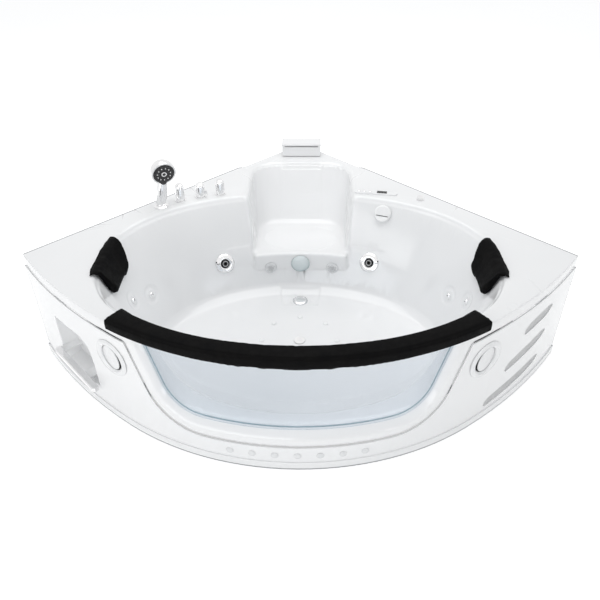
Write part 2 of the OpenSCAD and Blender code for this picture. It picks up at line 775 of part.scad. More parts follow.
// Frame of the head: z points out of the spray face
module on_handle() translate([0, 0, holder_h + 4]) rotate([0, handle_lean, 0]) children();
module on_head()
  translate([(head_h - holder_h - 4) * tan(handle_lean), 0, head_h])
    rotate([0, 90 + head_dip, head_turn]) children();
face_z = 14;
module shower_handset()
  color("whitesmoke") difference() {
    at_shower() {
      rotate_extrude() polygon([[0, -33.7], [handle_foot_r, -33.7], [handle_foot_r, holder_h + 1],
        [handle_r - 5, holder_h + 4], [handle_r - 8, holder_h + 12], [0, holder_h + 12]]);
      on_handle() rotate_extrude() polygon([[0, 0], [handle_r - 5, 0], [handle_r - 2, 20], [handle_r, 45],
        [handle_r - 1, 70], [handle_r - 5, 100], [handle_r - 8, 118], [0, 118]]);
      on_head() intersection() {
        sphere(r = head_r, $fn = 96);
        translate([0, 0, -29]) cylinder(h = 29 + face_z, r = head_r);
      }
    }
    at_shower() on_head() translate([0, 0, face_z - 3]) cylinder(h = 20, r = face_r + 0.05);
    at_shower() translate([0, 0, -40]) cylinder(h = 50, r = 7);
  }
module shower_face()
  color([0.08, 0.08, 0.1]) at_shower() on_head() difference() {
    translate([0, 0, face_z - 3]) rotate_extrude()
      polygon([[0, 0], [face_r, 0], [face_r, 3], [face_r - 3, 4.5], [0, 6]]);
    translate([0, 0, face_z - 1]) difference() {
      cylinder(h = 10, r = 11);
      translate([0, 0, -1]) cylinder(h = 12, r = 7);
    }
    for (i = [0:10]) rotate(i * 360 / 11) translate([28, 0, face_z - 1]) cylinder(h = 10, r = 2.4);
  }
module shower_nozzles()
  color("white") at_shower() on_head() {
    translate([0, 0, face_z - 1]) difference() {
      cylinder(h = 5.5, r = 10.8);
      translate([0, 0, -1]) cylinder(h = 12, r = 7.2);
    }
    for (i = [0:10]) rotate(i * 360 / 11) translate([28, 0, face_z - 1]) cylinder(h = 5, r = 2.2);
  }

// Taps: bodies under the deck with a neck above it, and three turning handles
neck_r = 9;
tap_disc_h = 5;
module tap_bodies()
  color("silver") for (i = [0:2]) translate(tap_at(i)) {
    cylinder(h = tap_disc_h, r = tap_r + 4);
    cylinder(h = tap_disc_h + tap_neck_h, r = neck_r);
    translate([0, 0, -75]) cylinder(h = 76, r = tap_barrel_r);
    translate([0, 0, -shell_t - 8]) cylinder(h = 8, r = tap_barrel_r + 6);
    translate([0, 0, -95]) cylinder(h = 21, r = tap_tail_r);
  }
module tap_handle(i, lever)
  color("whitesmoke") translate(tap_at(i)) difference() {
    union() {
      translate([0, 0, tap_disc_h + clear]) rotate_extrude()
        polygon([[0, 0], [tap_r, 0], [tap_r, tap_high[i] - 16], [tap_r - 3, tap_high[i] - 9],
          [tap_r - 8, tap_high[i] - tap_disc_h], [0, tap_high[i] - tap_disc_h]]);
      if (lever) translate([tap_r - 3, -4, tap_disc_h + 8]) cube([14, 8, 18]);
    }
    translate([0, 0, -1]) cylinder(h = tap_disc_h + tap_neck_h + 2, r = neck_r + 0.06);
  }
module hot_tap_handle() tap_handle(0, false);
module diverter_handle() tap_handle(1, true);
module cold_tap_handle() tap_handle(2, false);

// Overflow: its knob turns on a spindle and lifts the drain plug
spindle_r = 5;
module overflow_body()
  color("silver") on_wall(overflow_angle, overflow_z) {
    difference() {
      union() {
        translate([0, 0, -pad_deep]) cylinder(h = 4, r = overflow_r - 4);
        translate([0, 0, -40]) cylinder(h = 41, r = overflow_barrel_r);
      }
      translate([0, 0, -34]) cylinder(h = 60, r = overflow_barrel_r - 5);
      translate([0, -overflow_barrel_r, -31]) rotate([90, 0, 0]) cylinder(h = 40, r = 4, center = true);
    }
    translate([0, 0, -35]) cylinder(h = 47, r = spindle_r);
    translate([-overflow_barrel_r + 1, -2, -20]) cube([2 * overflow_barrel_r - 2, 4, 10]);
  }
module overflow_knob()
  color("white") on_wall(overflow_angle, overflow_z) difference() {
    translate([0, 0, 6]) rotate_extrude()
      polygon([[0, 0], [overflow_r - 2, 0], [overflow_r, 2], [overflow_r, 7],
      [overflow_r - 5, 11], [0, 12]]);
    translate([0, 0, -1]) cylinder(h = 14, r = spindle_r + 0.06);
    translate([overflow_r * 0.2, -overflow_r * 0.8, 14.5]) cube([5, overflow_r * 1.6, 10]);
  }

// Drain with its trap and waste pipe, and the overflow pipe that joins it
trap_r = 36;
trap_top = 50;
waste_z = 30;
plug_stem_r = 4;
module drain_body()
  color("silver") translate([0, wy(drain_d), 0]) difference() {
    union() {
      translate([0, 0, floor_z - 3]) cylinder(h = 4, r = drain_r);
      translate([0, 0, trap_top]) cylinder(h = floor_z - 3 - trap_top + 1, r = drain_barrel_r);
    }
    translate([0, 0, trap_top + 5]) cylinder(h = 60, r = drain_barrel_r - 4);
    translate([0, 0, floor_z - 0.5]) cylinder(h = 10, r = drain_r - 3);
    translate([0, 0, trap_top - 1]) cylinder(h = 10, r = plug_stem_r + 0.06);
    for (i = [0:5]) rotate(60 * i) translate([13, 0, trap_top - 1]) cylinder(h = 10, r = 4);
  }
module drain_plug()
  color("silver") translate([0, wy(drain_d), 0]) {
    translate([0, 0, floor_z - 0.2]) rotate_extrude() polygon([[0, 0], [27, 0], [27, 1.5], [22, 4], [0, 5]]);
    translate([0, 0, trap_top - 6]) cylinder(h = floor_z - trap_top + 7, r = plug_stem_r);
  }
module tube_run(pts, r, swell = 0) {
  for (i = [0:len(pts) - 2]) {
    v = pts[i + 1] - pts[i];
    translate(pts[i]) rotate([0, acos(v[2] / norm(v)), atan2(v[1], v[0])])
      cylinder(h = norm(v), r = r, $fn = 24);
  }
  for (i = [1:len(pts) - 2]) translate(pts[i]) sphere(r = r + swell, $fn = 24);
}
function behind_wall(a, z, deep) = wall_p(a, z) - deep * wall_n(a, z);
waste_end_d = 150;
waste_stub = 30;
elbow_swell = 2;
module drain_trap() {
  tail = behind_wall(overflow_angle, overflow_z, 40);
  far = behind_wall(overflow_angle, overflow_z, 66);
  color("gray") difference() {
    union() {
      translate([0, wy(drain_d), 8]) cylinder(h = trap_top - 8, r = trap_r);
      translate([0, wy(drain_d), waste_z]) rotate([-90, 0, 0])
        cylinder(h = drain_d - waste_end_d - waste_stub, r = waste_r - 2);
      translate([0, wy(waste_end_d + waste_stub), waste_z]) rotate([-90, 0, 0])
        cylinder(h = waste_stub, r = waste_r);
      tube_run([tail, far, [far[0], far[1], waste_z], [0, wy(drain_d), waste_z]], 15, elbow_swell);
    }
    translate([0, wy(drain_d), 14]) cylinder(h = 60, r = trap_r - 4 - 12);
    translate([0, wy(waste_end_d + 60), waste_z]) rotate([-90, 0, 0]) cylinder(h = 70, r = waste_r - 5);
  }
}

// Large jets: body through the wall, a ring that turns and a ball that swivels
ball_z = -4;
jet_tail = 55;
module jet_body(j)
  on_wall(j[0], j[1]) difference() {
    union() {
      translate([0, 0, -pad_deep]) cylinder(h = 3, r = jet_r - 3);
      translate([0, 0, -jet_tail]) cylinder(h = jet_tail, r = jet_barrel_r);
      translate([0, 0, -22]) cylinder(h = 9, r = jet_barrel_r + 9);
    }
    translate([0, 0, ball_z]) sphere(r = ball_r + clear, $fn = 64);
    translate([0, 0, ball_z]) cylinder(h = 20, r = ball_r + clear);
    translate([0, 0, -jet_tail + 4]) cylinder(h = jet_tail - 20, r = 12);
  }
module jet_bodies() color("white") for (j = jets) jet_body(j);
module jet_ring(j)
  color("silver") on_wall(j[0], j[1]) translate([0, 0, 3 - pad_deep + clear]) rotate_extrude()
    polygon([[ball_r + 1.5, 0], [jet_r, 0], [jet_r, 2], [jet_r - 5, 6], [ball_r + 6, 8], [ball_r + 1.5, 7]]);
module jet_ball(j)
  color([0.1, 0.1, 0.1]) on_wall(j[0], j[1]) translate([0, 0, ball_z]) difference() {
    intersection() {
      sphere(r = ball_r, $fn = 64);
      translate([0, 0, -14]) cylinder(h = 29, r = ball_r);
    }
    translate([0, 0, -20]) cylinder(h = 60, r = 6);
    translate([0, 0, 8]) cylinder(h = 20, r = 10);
  }
module jet_ring_left() jet_ring(left_jet);
module jet_ring_right() jet_ring(right_jet);
module jet_ball_left() jet_ball(left_jet);
module jet_ball_right() jet_ball(right_jet);

// Small side jets
side_nozzle_r = 8;
side_tail = 40;
module side_jet_bodies()
  color("white") for (j = side_jets) on_wall(j[0], j[1]) difference() {
    union() {
      translate([0, 0, -pad_deep]) cylinder(h = 4, r = side_jet_r);
      translate([0, 0, -side_tail]) cylinder(h = side_tail, r = side_barrel_r);
      translate([0, 0, -18]) cylinder(h = 6, r = side_barrel_r + 5);
    }
    translate([0, 0, -8]) cylinder(h = 20, r = side_nozzle_r + 0.06);
    translate([0, 0, -side_tail + 4]) cylinder(h = 60, r = 5);
  }
module side_nozzle(k) {
  j = side_jets[k];
  color("gainsboro") on_wall(j[0], j[1]) difference() {
    translate([0, 0, -7.5]) rotate_extrude()
      polygon([[0, 0], [side_nozzle_r, 0], [side_nozzle_r, 11], [5, 14], [0, 14]]);
    translate([2.5, 0, -10]) cylinder(h = 30, r = 2.2);
  }
}
module side_nozzle_1() side_nozzle(0);
module side_nozzle_2() side_nozzle(1);
module side_nozzle_3() side_nozzle(2);
module side_nozzle_4() side_nozzle(3);

// Suction fittings under the seat
suction_tail = 55;
suction_elbow_z = 145;
module suction_bodies()
  color("white") for (x = suction_x) {
    on_riser(x, suction_h) difference() {
      union() {
        translate([0, 0, -pad_deep]) cylinder(h = 2, r = suction_r - 3);
        translate([0, 0, -suction_tail]) cylinder(h = suction_tail, r = suction_barrel_r);
        translate([0, 0, -20]) cylinder(h = 7, r = suction_barrel_r + 6);
      }
      translate([0, 0, -suction_tail + 4]) cylinder(h = 80, r = suction_barrel_r - 4);
    }
    suction_drop(x, suction_elbow_z, 18);
  }
function riser_behind(x, deep) =
  let (r = riser_r + deep, a = asin(x / riser_r))
  [r * sin(a), wy(riser_c - r * cos(a))];
module suction_drop(x, z, r) {
  p = riser_behind(x, suction_tail - 22);
  translate([p[0], p[1], z]) cylinder(h = suction_h - suction_barrel_r + 3 - z, r = r);
}
module suction_covers()
  color("gainsboro") for (x = suction_x) on_riser(x, suction_h) difference() {
    translate([0, 0, 2 - pad_deep]) rotate_extrude()
      polygon([[0, 2], [suction_r - 5, 2], [suction_r - 5, 0], [suction_r, 0], [suction_r - 1, 3],
        [suction_r - 9, 7], [0, 8]]);
    for (i = [0:6], k = [0:(i == 0 ? 0 : 5)]) rotate(60 * k + (i > 3 ? 30 : 0))
      translate([i == 0 ? 0 : (i < 4 ? 5 * i : 5 * (i - 3) + 3.7), 0, -5]) cylinder(h = 30, r = 1.6);
  }

// Lamp in the riser, and a small one in the middle of the floor
module lamp_housing()
  color("gray") {
    on_riser(0, lamp_h) difference() {
      union() {
        translate([0, 0, -pad_deep]) cylinder(h = 3, r = lamp_r - 2);
        translate([0, 0, -42]) cylinder(h = 42, r = lamp_barrel_r);
      }
      translate([0, 0, -38]) cylinder(h = 60, r = lamp_barrel_r - 4);
    }
  }
module lamp_lens()
  color("lightsteelblue") on_riser(0, lamp_h) translate([0, 0, 3 - pad_deep]) rotate_extrude($fn = 64)
    polygon([[0, 0], [lamp_r, 0], [lamp_r, 2],
      for (a = [10:16:90]) [(lamp_r - 2) * cos(a), 2 + 14 * sin(a)]]);
module floor_lamp()
  color("silver") translate([0, wy(air_ring_d), 0]) {
    translate([0, 0, floor_z]) cylinder(h = 2.5, r = floor_lamp_r + 2);
    translate([0, 0, floor_z - 30]) cylinder(h = 31, r = floor_lamp_r);
  }
module floor_air_jets()
  color("white") for (p = air_jet_places) translate([p[0], wy(p[1]), 0]) {
    translate([0, 0, floor_z]) rotate_extrude() polygon([[0, 0], [11, 0], [11, 1], [8, 3.5], [0, 4]]);
    translate([0, 0, floor_z - 18]) cylinder(h = 19, r = air_barrel_r);
    translate([0, 0, under_z - 5]) cylinder(h = 5, r = air_barrel_r + 4);
  }

// Control panel on the right deck
module at_panel() translate(panel_at) rotate(panel_turn) children();
display_x = 27;
display_size = [44, 22];
button_places = [-74, -50, -26];
module panel_bezel()
  color("whitesmoke") at_panel() difference() {
    translate([0, 0, panel_t / 2]) union() {
      cube([panel_len - panel_wide, panel_wide, panel_t], center = true);
      for (side = [-1, 1]) translate([side * (panel_len - panel_wide) / 2, 0, 0])
        cylinder(h = panel_t, r = panel_wide / 2, center = true);
    }
    translate([display_x - display_size[0] / 2, -display_size[1] / 2, panel_t - 2])
      cube([display_size[0], display_size[1], 10]);
    for (x = button_places) translate([x, 0, panel_t - 4]) cylinder(h = 10, r = button_r + 0.2);
  }
module panel_display()
  color([0.05, 0.05, 0.07]) at_panel()
    translate([display_x - display_size[0] / 2, -display_size[1] / 2, panel_t - 2])
      cube([display_size[0], display_size[1], 2]);
module panel_button(k)
  color("silver") at_panel() translate([button_places[k], 0, panel_t - 4 + button_travel + 0.3])
    rotate_extrude() polygon([[0, 0], [button_r, 0], [button_r, 4.2], [button_r - 1, 5], [0, 5]]);
module button_jets() panel_button(0);
module button_air() panel_button(1);
module button_light() panel_button(2);

// Air valve with a turning knob
air_spindle_r = 5;
module air_valve_body()
  color("silver") translate(air_valve_at) {
    cylinder(h = 3, r = air_knob_r + 3);
    cylinder(h = 10, r = air_spindle_r);
    translate([0, 0, -45]) cylinder(h = 46, r = air_valve_barrel_r);
    translate([0, 0, -shell_t - 6]) cylinder(h = 6, r = air_valve_barrel_r + 5);
  }
module air_knob()
  color("whitesmoke") translate(air_valve_at) difference() {
    translate([0, 0, 3 + clear]) rotate_extrude()
      polygon([[0, 0], [air_knob_r, 0], [air_knob_r, 9], [air_knob_r - 3, 13], [0, 14]]);
    translate([0, 0, -1]) cylinder(h = 11.4, r = air_spindle_r + 0.06);
  }

// Towel rail in front of the niche, on two brackets
module at_rail() on_front(-niche_s, rail_h) rotate(-rail_slope) children();
module towel_rail()
  color("white") at_rail() difference() {
    translate([-rail_len / 2, -rail_high / 2, rail_gap]) cube([rail_len, rail_high, rail_deep]);
    for (side = [-1, 1]) translate([0, side * rail_high / 2, rail_gap + rail_deep]) rotate([45, 0, 0])
      cube([rail_len + 2, 5, 5], center = true);
    for (side = [-1, 1]) translate([side * rail_len / 2, 0, rail_gap + rail_deep]) rotate([0, 45, 0])
      cube([14, rail_high + 2, 14], center = true);
  }
bracket_w = 38;
bracket_at = [-117, 54];
module rail_brackets()
  color("whitesmoke") intersection() {
    union() {
      at_rail() for (x = bracket_at) translate([x - bracket_w / 2, -5, -niche_depth])
        cube([bracket_w, 10, niche_depth + rail_gap]);
    }
    niche_form(-niche_t - 0.05, niche_depth - niche_t - 0.05, 30);
  }

// Loudspeakers in the skirt
module speaker_rings()
  color("white") for (side = [-1, 1]) on_front(side * speaker_s, speaker_h) difference() {
    translate([0, 0, clear]) rotate_extrude($fn = 72)
      polygon([[speaker_cover_r + 3, -12], [speaker_hole_r - 1, -12],
      [speaker_hole_r - 1, 0], [speaker_r, 0], [speaker_r, 2], [speaker_r - 6, 6], [speaker_r - 16, 7],
      [speaker_cover_r + 3, 1]]);
  }
module speaker_covers()
  color("gainsboro") for (side = [-1, 1]) on_front(side * speaker_s, speaker_h) {
    translate([0, 0, -3]) rotate([0, side * speaker_tilt, 0]) cylinder(h = 5, r = speaker_cover_r, $fn = 72);
    translate([0, 0, -speaker_back - 4]) cylinder(h = speaker_back + 2, r = 8);
  }
module speaker_drivers()
  color([0.15, 0.15, 0.15]) for (side = [-1, 1]) on_front(side * speaker_s, speaker_h)
    translate([0, 0, -speaker_back]) rotate([180, 0, 0]) rotate_extrude()
      polygon([[0, 4], [speaker_cover_r - 2, 4], [speaker_cover_r - 2, 0], [speaker_hole_r - 1, 0],
        [speaker_hole_r - 1, 5], [26, 26], [26, 42], [0, 42]]);

module led_lenses()
  color("lightgray") for (i = [0:led_count - 1]) on_front((i - (led_count - 1) / 2) * led_pitch, led_h) {
    translate([0, 0, clear]) rotate_extrude()
      polygon([[0, 0], [led_r, 0], [led_r, 1], [led_r - 4, 3], [0, 4]]);
    translate([0, 0, -skirt_t - 9]) cylinder(h = skirt_t + 10, r = led_r - 2 - clear);
  }

// Steel frame: tubes welded end to side, with posts up to the rim and feet
rail_top = under_z;
rail_low = rail_top - tube_w;
wall_e = (wall_gap + shell_t) * sqrt(2) + tube_w;
weld = 0.1;
tube_side = tube_w / 2 + weld;
rail_past = tube_w / 2 - 3;
corner_in = 80;
// The waste pipe leaves through the corner, between the two posts nearest to it
corner_post_x = 80;
last_post_x = half_wide - corner_in;
wall_posts = [corner_post_x, (corner_post_x + last_post_x) * 0.66, last_post_x];
front_post = [600, 1345];
cross_d = (drain_d + drain_r + air_ring_d - air_ring_r) / 2;
floor_rail_x = 420;
seat_post = [160, 500];
machine_x = [752, 832];
bridge_below_rim = 66;
function wall_post(x) = [x, abs(x) + wall_e];
posts = [for (side = [-1, 1], x = wall_posts) wall_post(side * x)];

// Sideways place of the rail that joins an outer corner to the front
function side_rail_d(x) =
  let (p = wall_post(last_post_x), q = front_post)
  p[1] + (q[1] - p[1]) * (p[0] - x) / (p[0] - q[0]);
module rail_between(p, q, z, past_p = rail_past, past_q = rail_past) {
  v = [q[0] - p[0], p[1] - q[1]];
  translate([p[0], wy(p[1]), z]) rotate(atan2(v[1], v[0])) translate([-past_p, -tube_w / 2, 0])
    cube([norm(v) + past_p + past_q, tube_w, tube_w]);
}
// All that lies beyond the near side of the rail from p to q, on its left if side is 1
module beyond_rail(p, q, side) {
  v = [q[0] - p[0], p[1] - q[1]];
  wide = 300;
  translate([p[0], wy(p[1]), rail_low - 5]) rotate(atan2(v[1], v[0]))
    translate([-wide, side > 0 ? -tube_side : -wide, 0])
      cube([norm(v) + 2 * wide, wide + tube_side, tube_w + 10]);
}
module beyond_wall_rail(side)
  beyond_rail(wall_post(side * corner_post_x), wall_post(side * last_post_x), side);
module beyond_side_rail(side)
  beyond_rail(wall_post(side * last_post_x), [side * front_post[0], front_post[1]], side);
module beyond_front_rail() beyond_rail([-front_post[0], front_post[1]], front_post, -1);
module post_at(p, top)
  translate([p[0] - tube_w / 2, wy(p[1]) - tube_w / 2, rail_top + weld])
    cube([tube_w, tube_w, top - rail_top - weld]);
module support_frame()
  color("slategray") {
    difference() {
      rail_between([wall_e - cross_d, cross_d], [cross_d - wall_e, cross_d], rail_low);
      beyond_wall_rail(-1);
      beyond_wall_rail(1);
    }
    rail_between([-front_post[0], front_post[1]], front_post, rail_low, 34, 34);
    rail_between(wall_post(-corner_post_x), wall_post(corner_post_x), rim_h - bridge_below_rim,
      -tube_side, -tube_side);
    for (p = posts) post_at(p, rim_h - shell_t);
    for (side = [-1, 1]) {
      rail_between(wall_post(side * corner_post_x), wall_post(side * last_post_x), rail_low);
      difference() {
        rail_between(wall_post(side * last_post_x), [side * front_post[0], front_post[1]], rail_low, 0, 30);
        beyond_wall_rail(side);
        beyond_front_rail();
      }
      rail_between([side * floor_rail_x, cross_d], [side * floor_rail_x, front_post[1]], rail_low,
        -tube_side, -tube_side);
      difference() {
        rail_between([side * seat_post[0], seat_post[1]], [side * (seat_post[1] - wall_e), seat_post[1]],
          rail_low);
        beyond_wall_rail(side);
      }
      post_at([side * seat_post[0], seat_post[1]], seat_h - shell_t);
      for (x = machine_x) difference() {
        rail_between([side * x, cross_d], [side * x, side_rail_d(x)], rail_low, -tube_side, 20);
        beyond_wall_rail(side);
        beyond_side_rail(side);
      }
    }
  }
feet = concat(posts, [for (side = [-1, 1]) each [[side * front_post[0], front_post[1]],
  [side * floor_rail_x, (cross_d + front_post[1]) / 2], [side * seat_post[0], seat_post[1]]]]);
module frame_feet()
  color("dimgray") for (p = feet) translate([p[0], wy(p[1]), 0]) {
    cylinder(h = 8, r = foot_r);
    cylinder(h = rail_low, r = 6);
    translate([0, 0, rail_low - 9]) cylinder(h = 9, r = 11);
  }

// Jet pump on the left, air blower on the right, control box at the back
pump_x = -790;
pump_z = 150;
pump_d = 905;
wet_len = 65;
motor_len = 190;
module pump_body()
  color("dimgray") translate([pump_x, 0, pump_z]) difference() {
    union() {
      translate([0, wy(pump_d), 0]) rotate([90, 0, 0]) cylinder(h = wet_len, r = 72);
      translate([0, wy(pump_d) + 18, 0]) rotate([90, 0, 0]) cylinder(h = 19, r = 25);
      translate([0, wy(pump_d + 32), 0]) cylinder(h = 95, r = 23);
      translate([-60, wy(pump_d + wet_len), -pump_z + under_z]) cube([120, wet_len, 40]);
    }
    translate([0, wy(pump_d) + 20, 0]) rotate([90, 0, 0]) cylinder(h = 40, r = 12);
    translate([0, wy(pump_d + 32), 40]) cylinder(h = 70, r = 10);
  }
module pump_motor()
  color("darkslategray") translate([pump_x, wy(pump_d + wet_len), pump_z]) {
    rotate([90, 0, 0]) cylinder(h = motor_len, r = 66);
    translate([-55, -motor_len + 20, under_z - pump_z]) cube([110, motor_len - 50, 45]);
    translate([-35, -motor_len + 60, 50]) cube([70, 90, 34]);
  }
blower_x = 800;
blower_d = 1050;
module air_blower()
  color("dimgray") translate([blower_x, wy(blower_d), under_z]) {
    cylinder(h = 30, r = 85);
    cylinder(h = 120, r = 70);
    translate([0, 0, 119]) cylinder(h = 30, r = 45);
    translate([-100, 30, 18]) rotate([0, 90, 0]) cylinder(h = 60, r = 16);
  }
box_d = 425;
module control_box()
  color("gray") translate([-box_d, wy(box_d), under_z]) rotate(45)
    translate([-95, -70 - wall_gap - shell_t, 0]) {
      cube([190, 64, 150]);
      translate([12, -5, 12]) cube([166, 6, 126]);
    }

// Straight pipes, each ending just short of the ball between it and the next
main_r = 13;
main_deep = 84;
main_z = 228;
seat_main = [190, 205];
suction_r_pipe = 16;
suction_z = 115;
branch_r = 9;
jet_pipe_r = 10;
side_pipe_r = 8;
side_stub = 34;
branch_stub = 18;
joint_gap = 0.1;
function joint_r(r) = max(1.45 * r, r + 5.4);
// joint_p and joint_q are the radii of the balls at the two ends, or 0
module pipe(p, q, r, joint_p = 0, joint_q = 0) {
  v = q - p;
  from = joint_p > 0 ? joint_p + joint_gap : 0;
  to = norm(v) - (joint_q > 0 ? joint_q + joint_gap : 0);
  translate(p) rotate([0, acos(v[2] / norm(v)), atan2(v[1], v[0])])
    translate([0, 0, from]) cylinder(h = to - from, r = r, $fn = 24);
}
module joint_at(p, r) translate(p) sphere(r = joint_r(r), $fn = 24);
module pipe_chain(pts, r, last = 0) {
  end = len(pts) - 1;
  for (i = [0:end - 1])
    pipe(pts[i], pts[i + 1], r, i == 0 ? 0 : joint_r(r), i == end - 1 ? last : joint_r(r));
  for (i = [1:end - 1]) joint_at(pts[i], r);
}
module water_pipes() {
  main = concat(
    [[pump_x, wy(pump_d + 32), pump_z + 95], [pump_x, wy(pump_d + 32), pump_z + 142],
      [pump_x + 45, wy(pump_d + 32), pump_z + 142]],
    [behind_wall(164, 232, main_deep + 12)], [for (a = [150, 136]) behind_wall(a, main_z, main_deep)],
    [behind_wall(left_jet[0], left_jet[1], main_deep)],
    [for (x = [-seat_main[0], seat_main[0]]) [x, wy(riser_d - main_deep - 16), seat_main[1]]],
    [behind_wall(right_jet[0], right_jet[1], main_deep)],
    [for (a = [44, 30]) behind_wall(a, main_z, main_deep)],
    [behind_wall(16, 232, side_tail + side_stub), behind_wall(2, 280, side_tail + side_stub)]);
  branch = [behind_wall(178, 280, side_tail), behind_wall(178, 280, side_tail + branch_stub),
    behind_wall(164, 232, side_tail + branch_stub), main[3]];
  color("lightgray") {
    pipe_chain(main, main_r, joint_r(main_r));
    joint_at(main[len(main) - 1], main_r);
    pipe_chain(branch, branch_r, joint_r(main_r));
    pipe(behind_wall(164, 232, side_tail), branch[2], side_pipe_r, 0, joint_r(branch_r));
    for (j = jets)
      pipe(behind_wall(j[0], j[1], jet_tail), behind_wall(j[0], j[1], main_deep), jet_pipe_r,
        0, joint_r(main_r));
    for (j = [[16, 232], [2, 280]])
      pipe(behind_wall(j[0], j[1], side_tail), behind_wall(j[0], j[1], side_tail + side_stub),
        side_pipe_r, 0, joint_r(main_r));
  }
  color("gray") {
    a = riser_behind(suction_x[0], suction_tail - 22);
    b = riser_behind(suction_x[1], suction_tail - 22);
    pipe_chain([[b[0], b[1], suction_elbow_z], [b[0], b[1], suction_z], [a[0], a[1], suction_z],
      [pump_x + 390, wy(pump_d - 185), suction_z], [pump_x + 150, wy(pump_d - 25), suction_z],
      [pump_x + 90, wy(pump_d - 75), pump_z - 20], [pump_x, wy(pump_d - 55), pump_z],
      [pump_x, wy(pump_d - 18), pump_z]], suction_r_pipe);
    pipe([a[0], a[1], suction_elbow_z], [a[0], a[1], suction_z], suction_r_pipe,
      0, joint_r(suction_r_pipe));
  }
}

// Air pipes: from the blower to the ring under the floor
air_z = floor_z - 24;
ring_pipe_r = 6;
ring_parts = 12;
module air_pipes()
  color("gray") {
    for (i = [0:ring_parts - 1])
      translate([0, wy(air_ring_d), air_z])
        rotate_extrude(angle = 360 / ring_parts - 0.1, start = 360 * i / ring_parts, $fn = 96)
          translate([air_ring_r, 0]) circle(r = ring_pipe_r, $fn = 24);
    pipe_chain([[air_ring_r + ring_pipe_r + 0.3, wy(air_ring_d), air_z],
      [air_ring_r + 104, wy(air_ring_d), air_z],
      [air_ring_r + 174, wy(air_ring_d), rail_low - 12], [540, wy(air_ring_d), rail_low - 12],
      [640, wy(blower_d - 30), under_z + 18], [blower_x - 100, wy(blower_d - 30), under_z + 18]], 5);
  }

// Soft pieces
cushion_c = front_d + cushion_over - cushion_deep - cushion_r;
module front_cushion()
  color([0.08, 0.08, 0.08]) difference() {
    translate([0, wy(cushion_c), rim_h])
      rotate_extrude(angle = 2 * cushion_half_angle, start = -90 - cushion_half_angle, $fn = 180)
        translate([cushion_r, 0])
          polygon([[1, 0], [0, 5], [0, cushion_t * 0.62], [5, cushion_t * 0.87], [18, cushion_t - 0.8],
            [cushion_deep * 0.5, cushion_t], [cushion_deep - 18, cushion_t - 1],
            [cushion_deep - 4, cushion_t * 0.8],
            [cushion_deep, cushion_t * 0.5], [cushion_deep, -cushion_drop + 4],
            [cushion_deep - 3, -cushion_drop],
            [cushion_deep - 40, -cushion_drop], [cushion_deep - 41, 0]]);
    translate([0, wy(front_c), rim_h - 50]) cylinder(h = 50, r = front_r - skirt_proud + clear, $fn = 240);
  }

// A pillow bends over the rim and hangs down the basin wall
// Each station: angle round the basin, share of the full drop
pillow_stations = [[-11, 0.42], [-10.5, 0.7], [-9.3, 0.87], [-6.8, 0.97], [-3, 1], [1, 1], [5, 1],
  [8, 0.99], [10.5, 0.92], [12.2, 0.77], [13.5, 0.52], [14.6, 0.25], [15, 0.15]];
function pillow_ring(i, left) =
  let (a = pillow_stations[i][0],
       t = (a - 2) / 13,
       drop = pillow_drop * pillow_stations[i][1],
       thick = pillow_t * (1 - 0.16 * pow(abs(t), 6)),
       on_rim = pillow_on_rim + 8 * t * t,
       bend_r = (rim_round + 1.2) / cos(15),
       bent = [for (b = [15, 45, 75]) [rim_round - bend_r * sin(b), bend_r * cos(b) - rim_round]],
       sect = [[on_rim, 0.5], bent[0], bent[1], bent[2],
         [-2.1, -rim_round - 4 - drop * 0.05], [-2.4, -rim_round - drop * 0.4],
         [-2.4, -rim_round - drop * 0.8],
         [-thick * 0.5, -drop - 7 - rim_round * 0.2], [-thick, -drop * 0.88 - 4], [-thick - 2, -drop * 0.5],
         [-thick, -rim_round * 0.6], [-thick * 0.62, thick * 0.4],
         [0, thick * 0.8], [on_rim * 0.6, thick * 0.8], [on_rim + 3, thick * 0.62],
         [on_rim + 4, thick * 0.3]])
  [for (q = sect)
    let (z = min(rim_h, rim_h + q[1]), p = basin_pt(left ? 180 - a : a, z, q[0]))
    [p[0], p[1], rim_h + q[1]]];
// A stack of hook-shaped rings whose end faces are strips across the hook, so that they follow its bend
module hook_loft(rings) {
  n = len(rings[0]);
  m = len(rings);
  t = (m - 1) * n;
  sides = [for (k = [0:m - 2], i = [0:n - 1]) each
    [[k * n + i, (k + 1) * n + i, (k + 1) * n + (i + 1) % n],
     [k * n + i, (k + 1) * n + (i + 1) % n, k * n + (i + 1) % n]]];
  foot = [for (i = [0:n / 2 - 2]) each [[i, i + 1, n - 1 - i], [i + 1, n - 2 - i, n - 1 - i]]];
  top = [for (i = [0:n / 2 - 2]) each
    [[t + i + 1, t + i, t + n - 1 - i], [t + n - 2 - i, t + i + 1, t + n - 1 - i]]];
  polyhedron([for (r = rings) each r], concat(foot, sides, top));
}
module pillow(left) {
  rings = [for (i = [0:len(pillow_stations) - 1]) pillow_ring(i, left)];
  color([0.08, 0.08, 0.08]) hook_loft(left ? turn_back(rings) : rings);
}
module pillow_left() pillow(true);
module pillow_right() pillow(false);

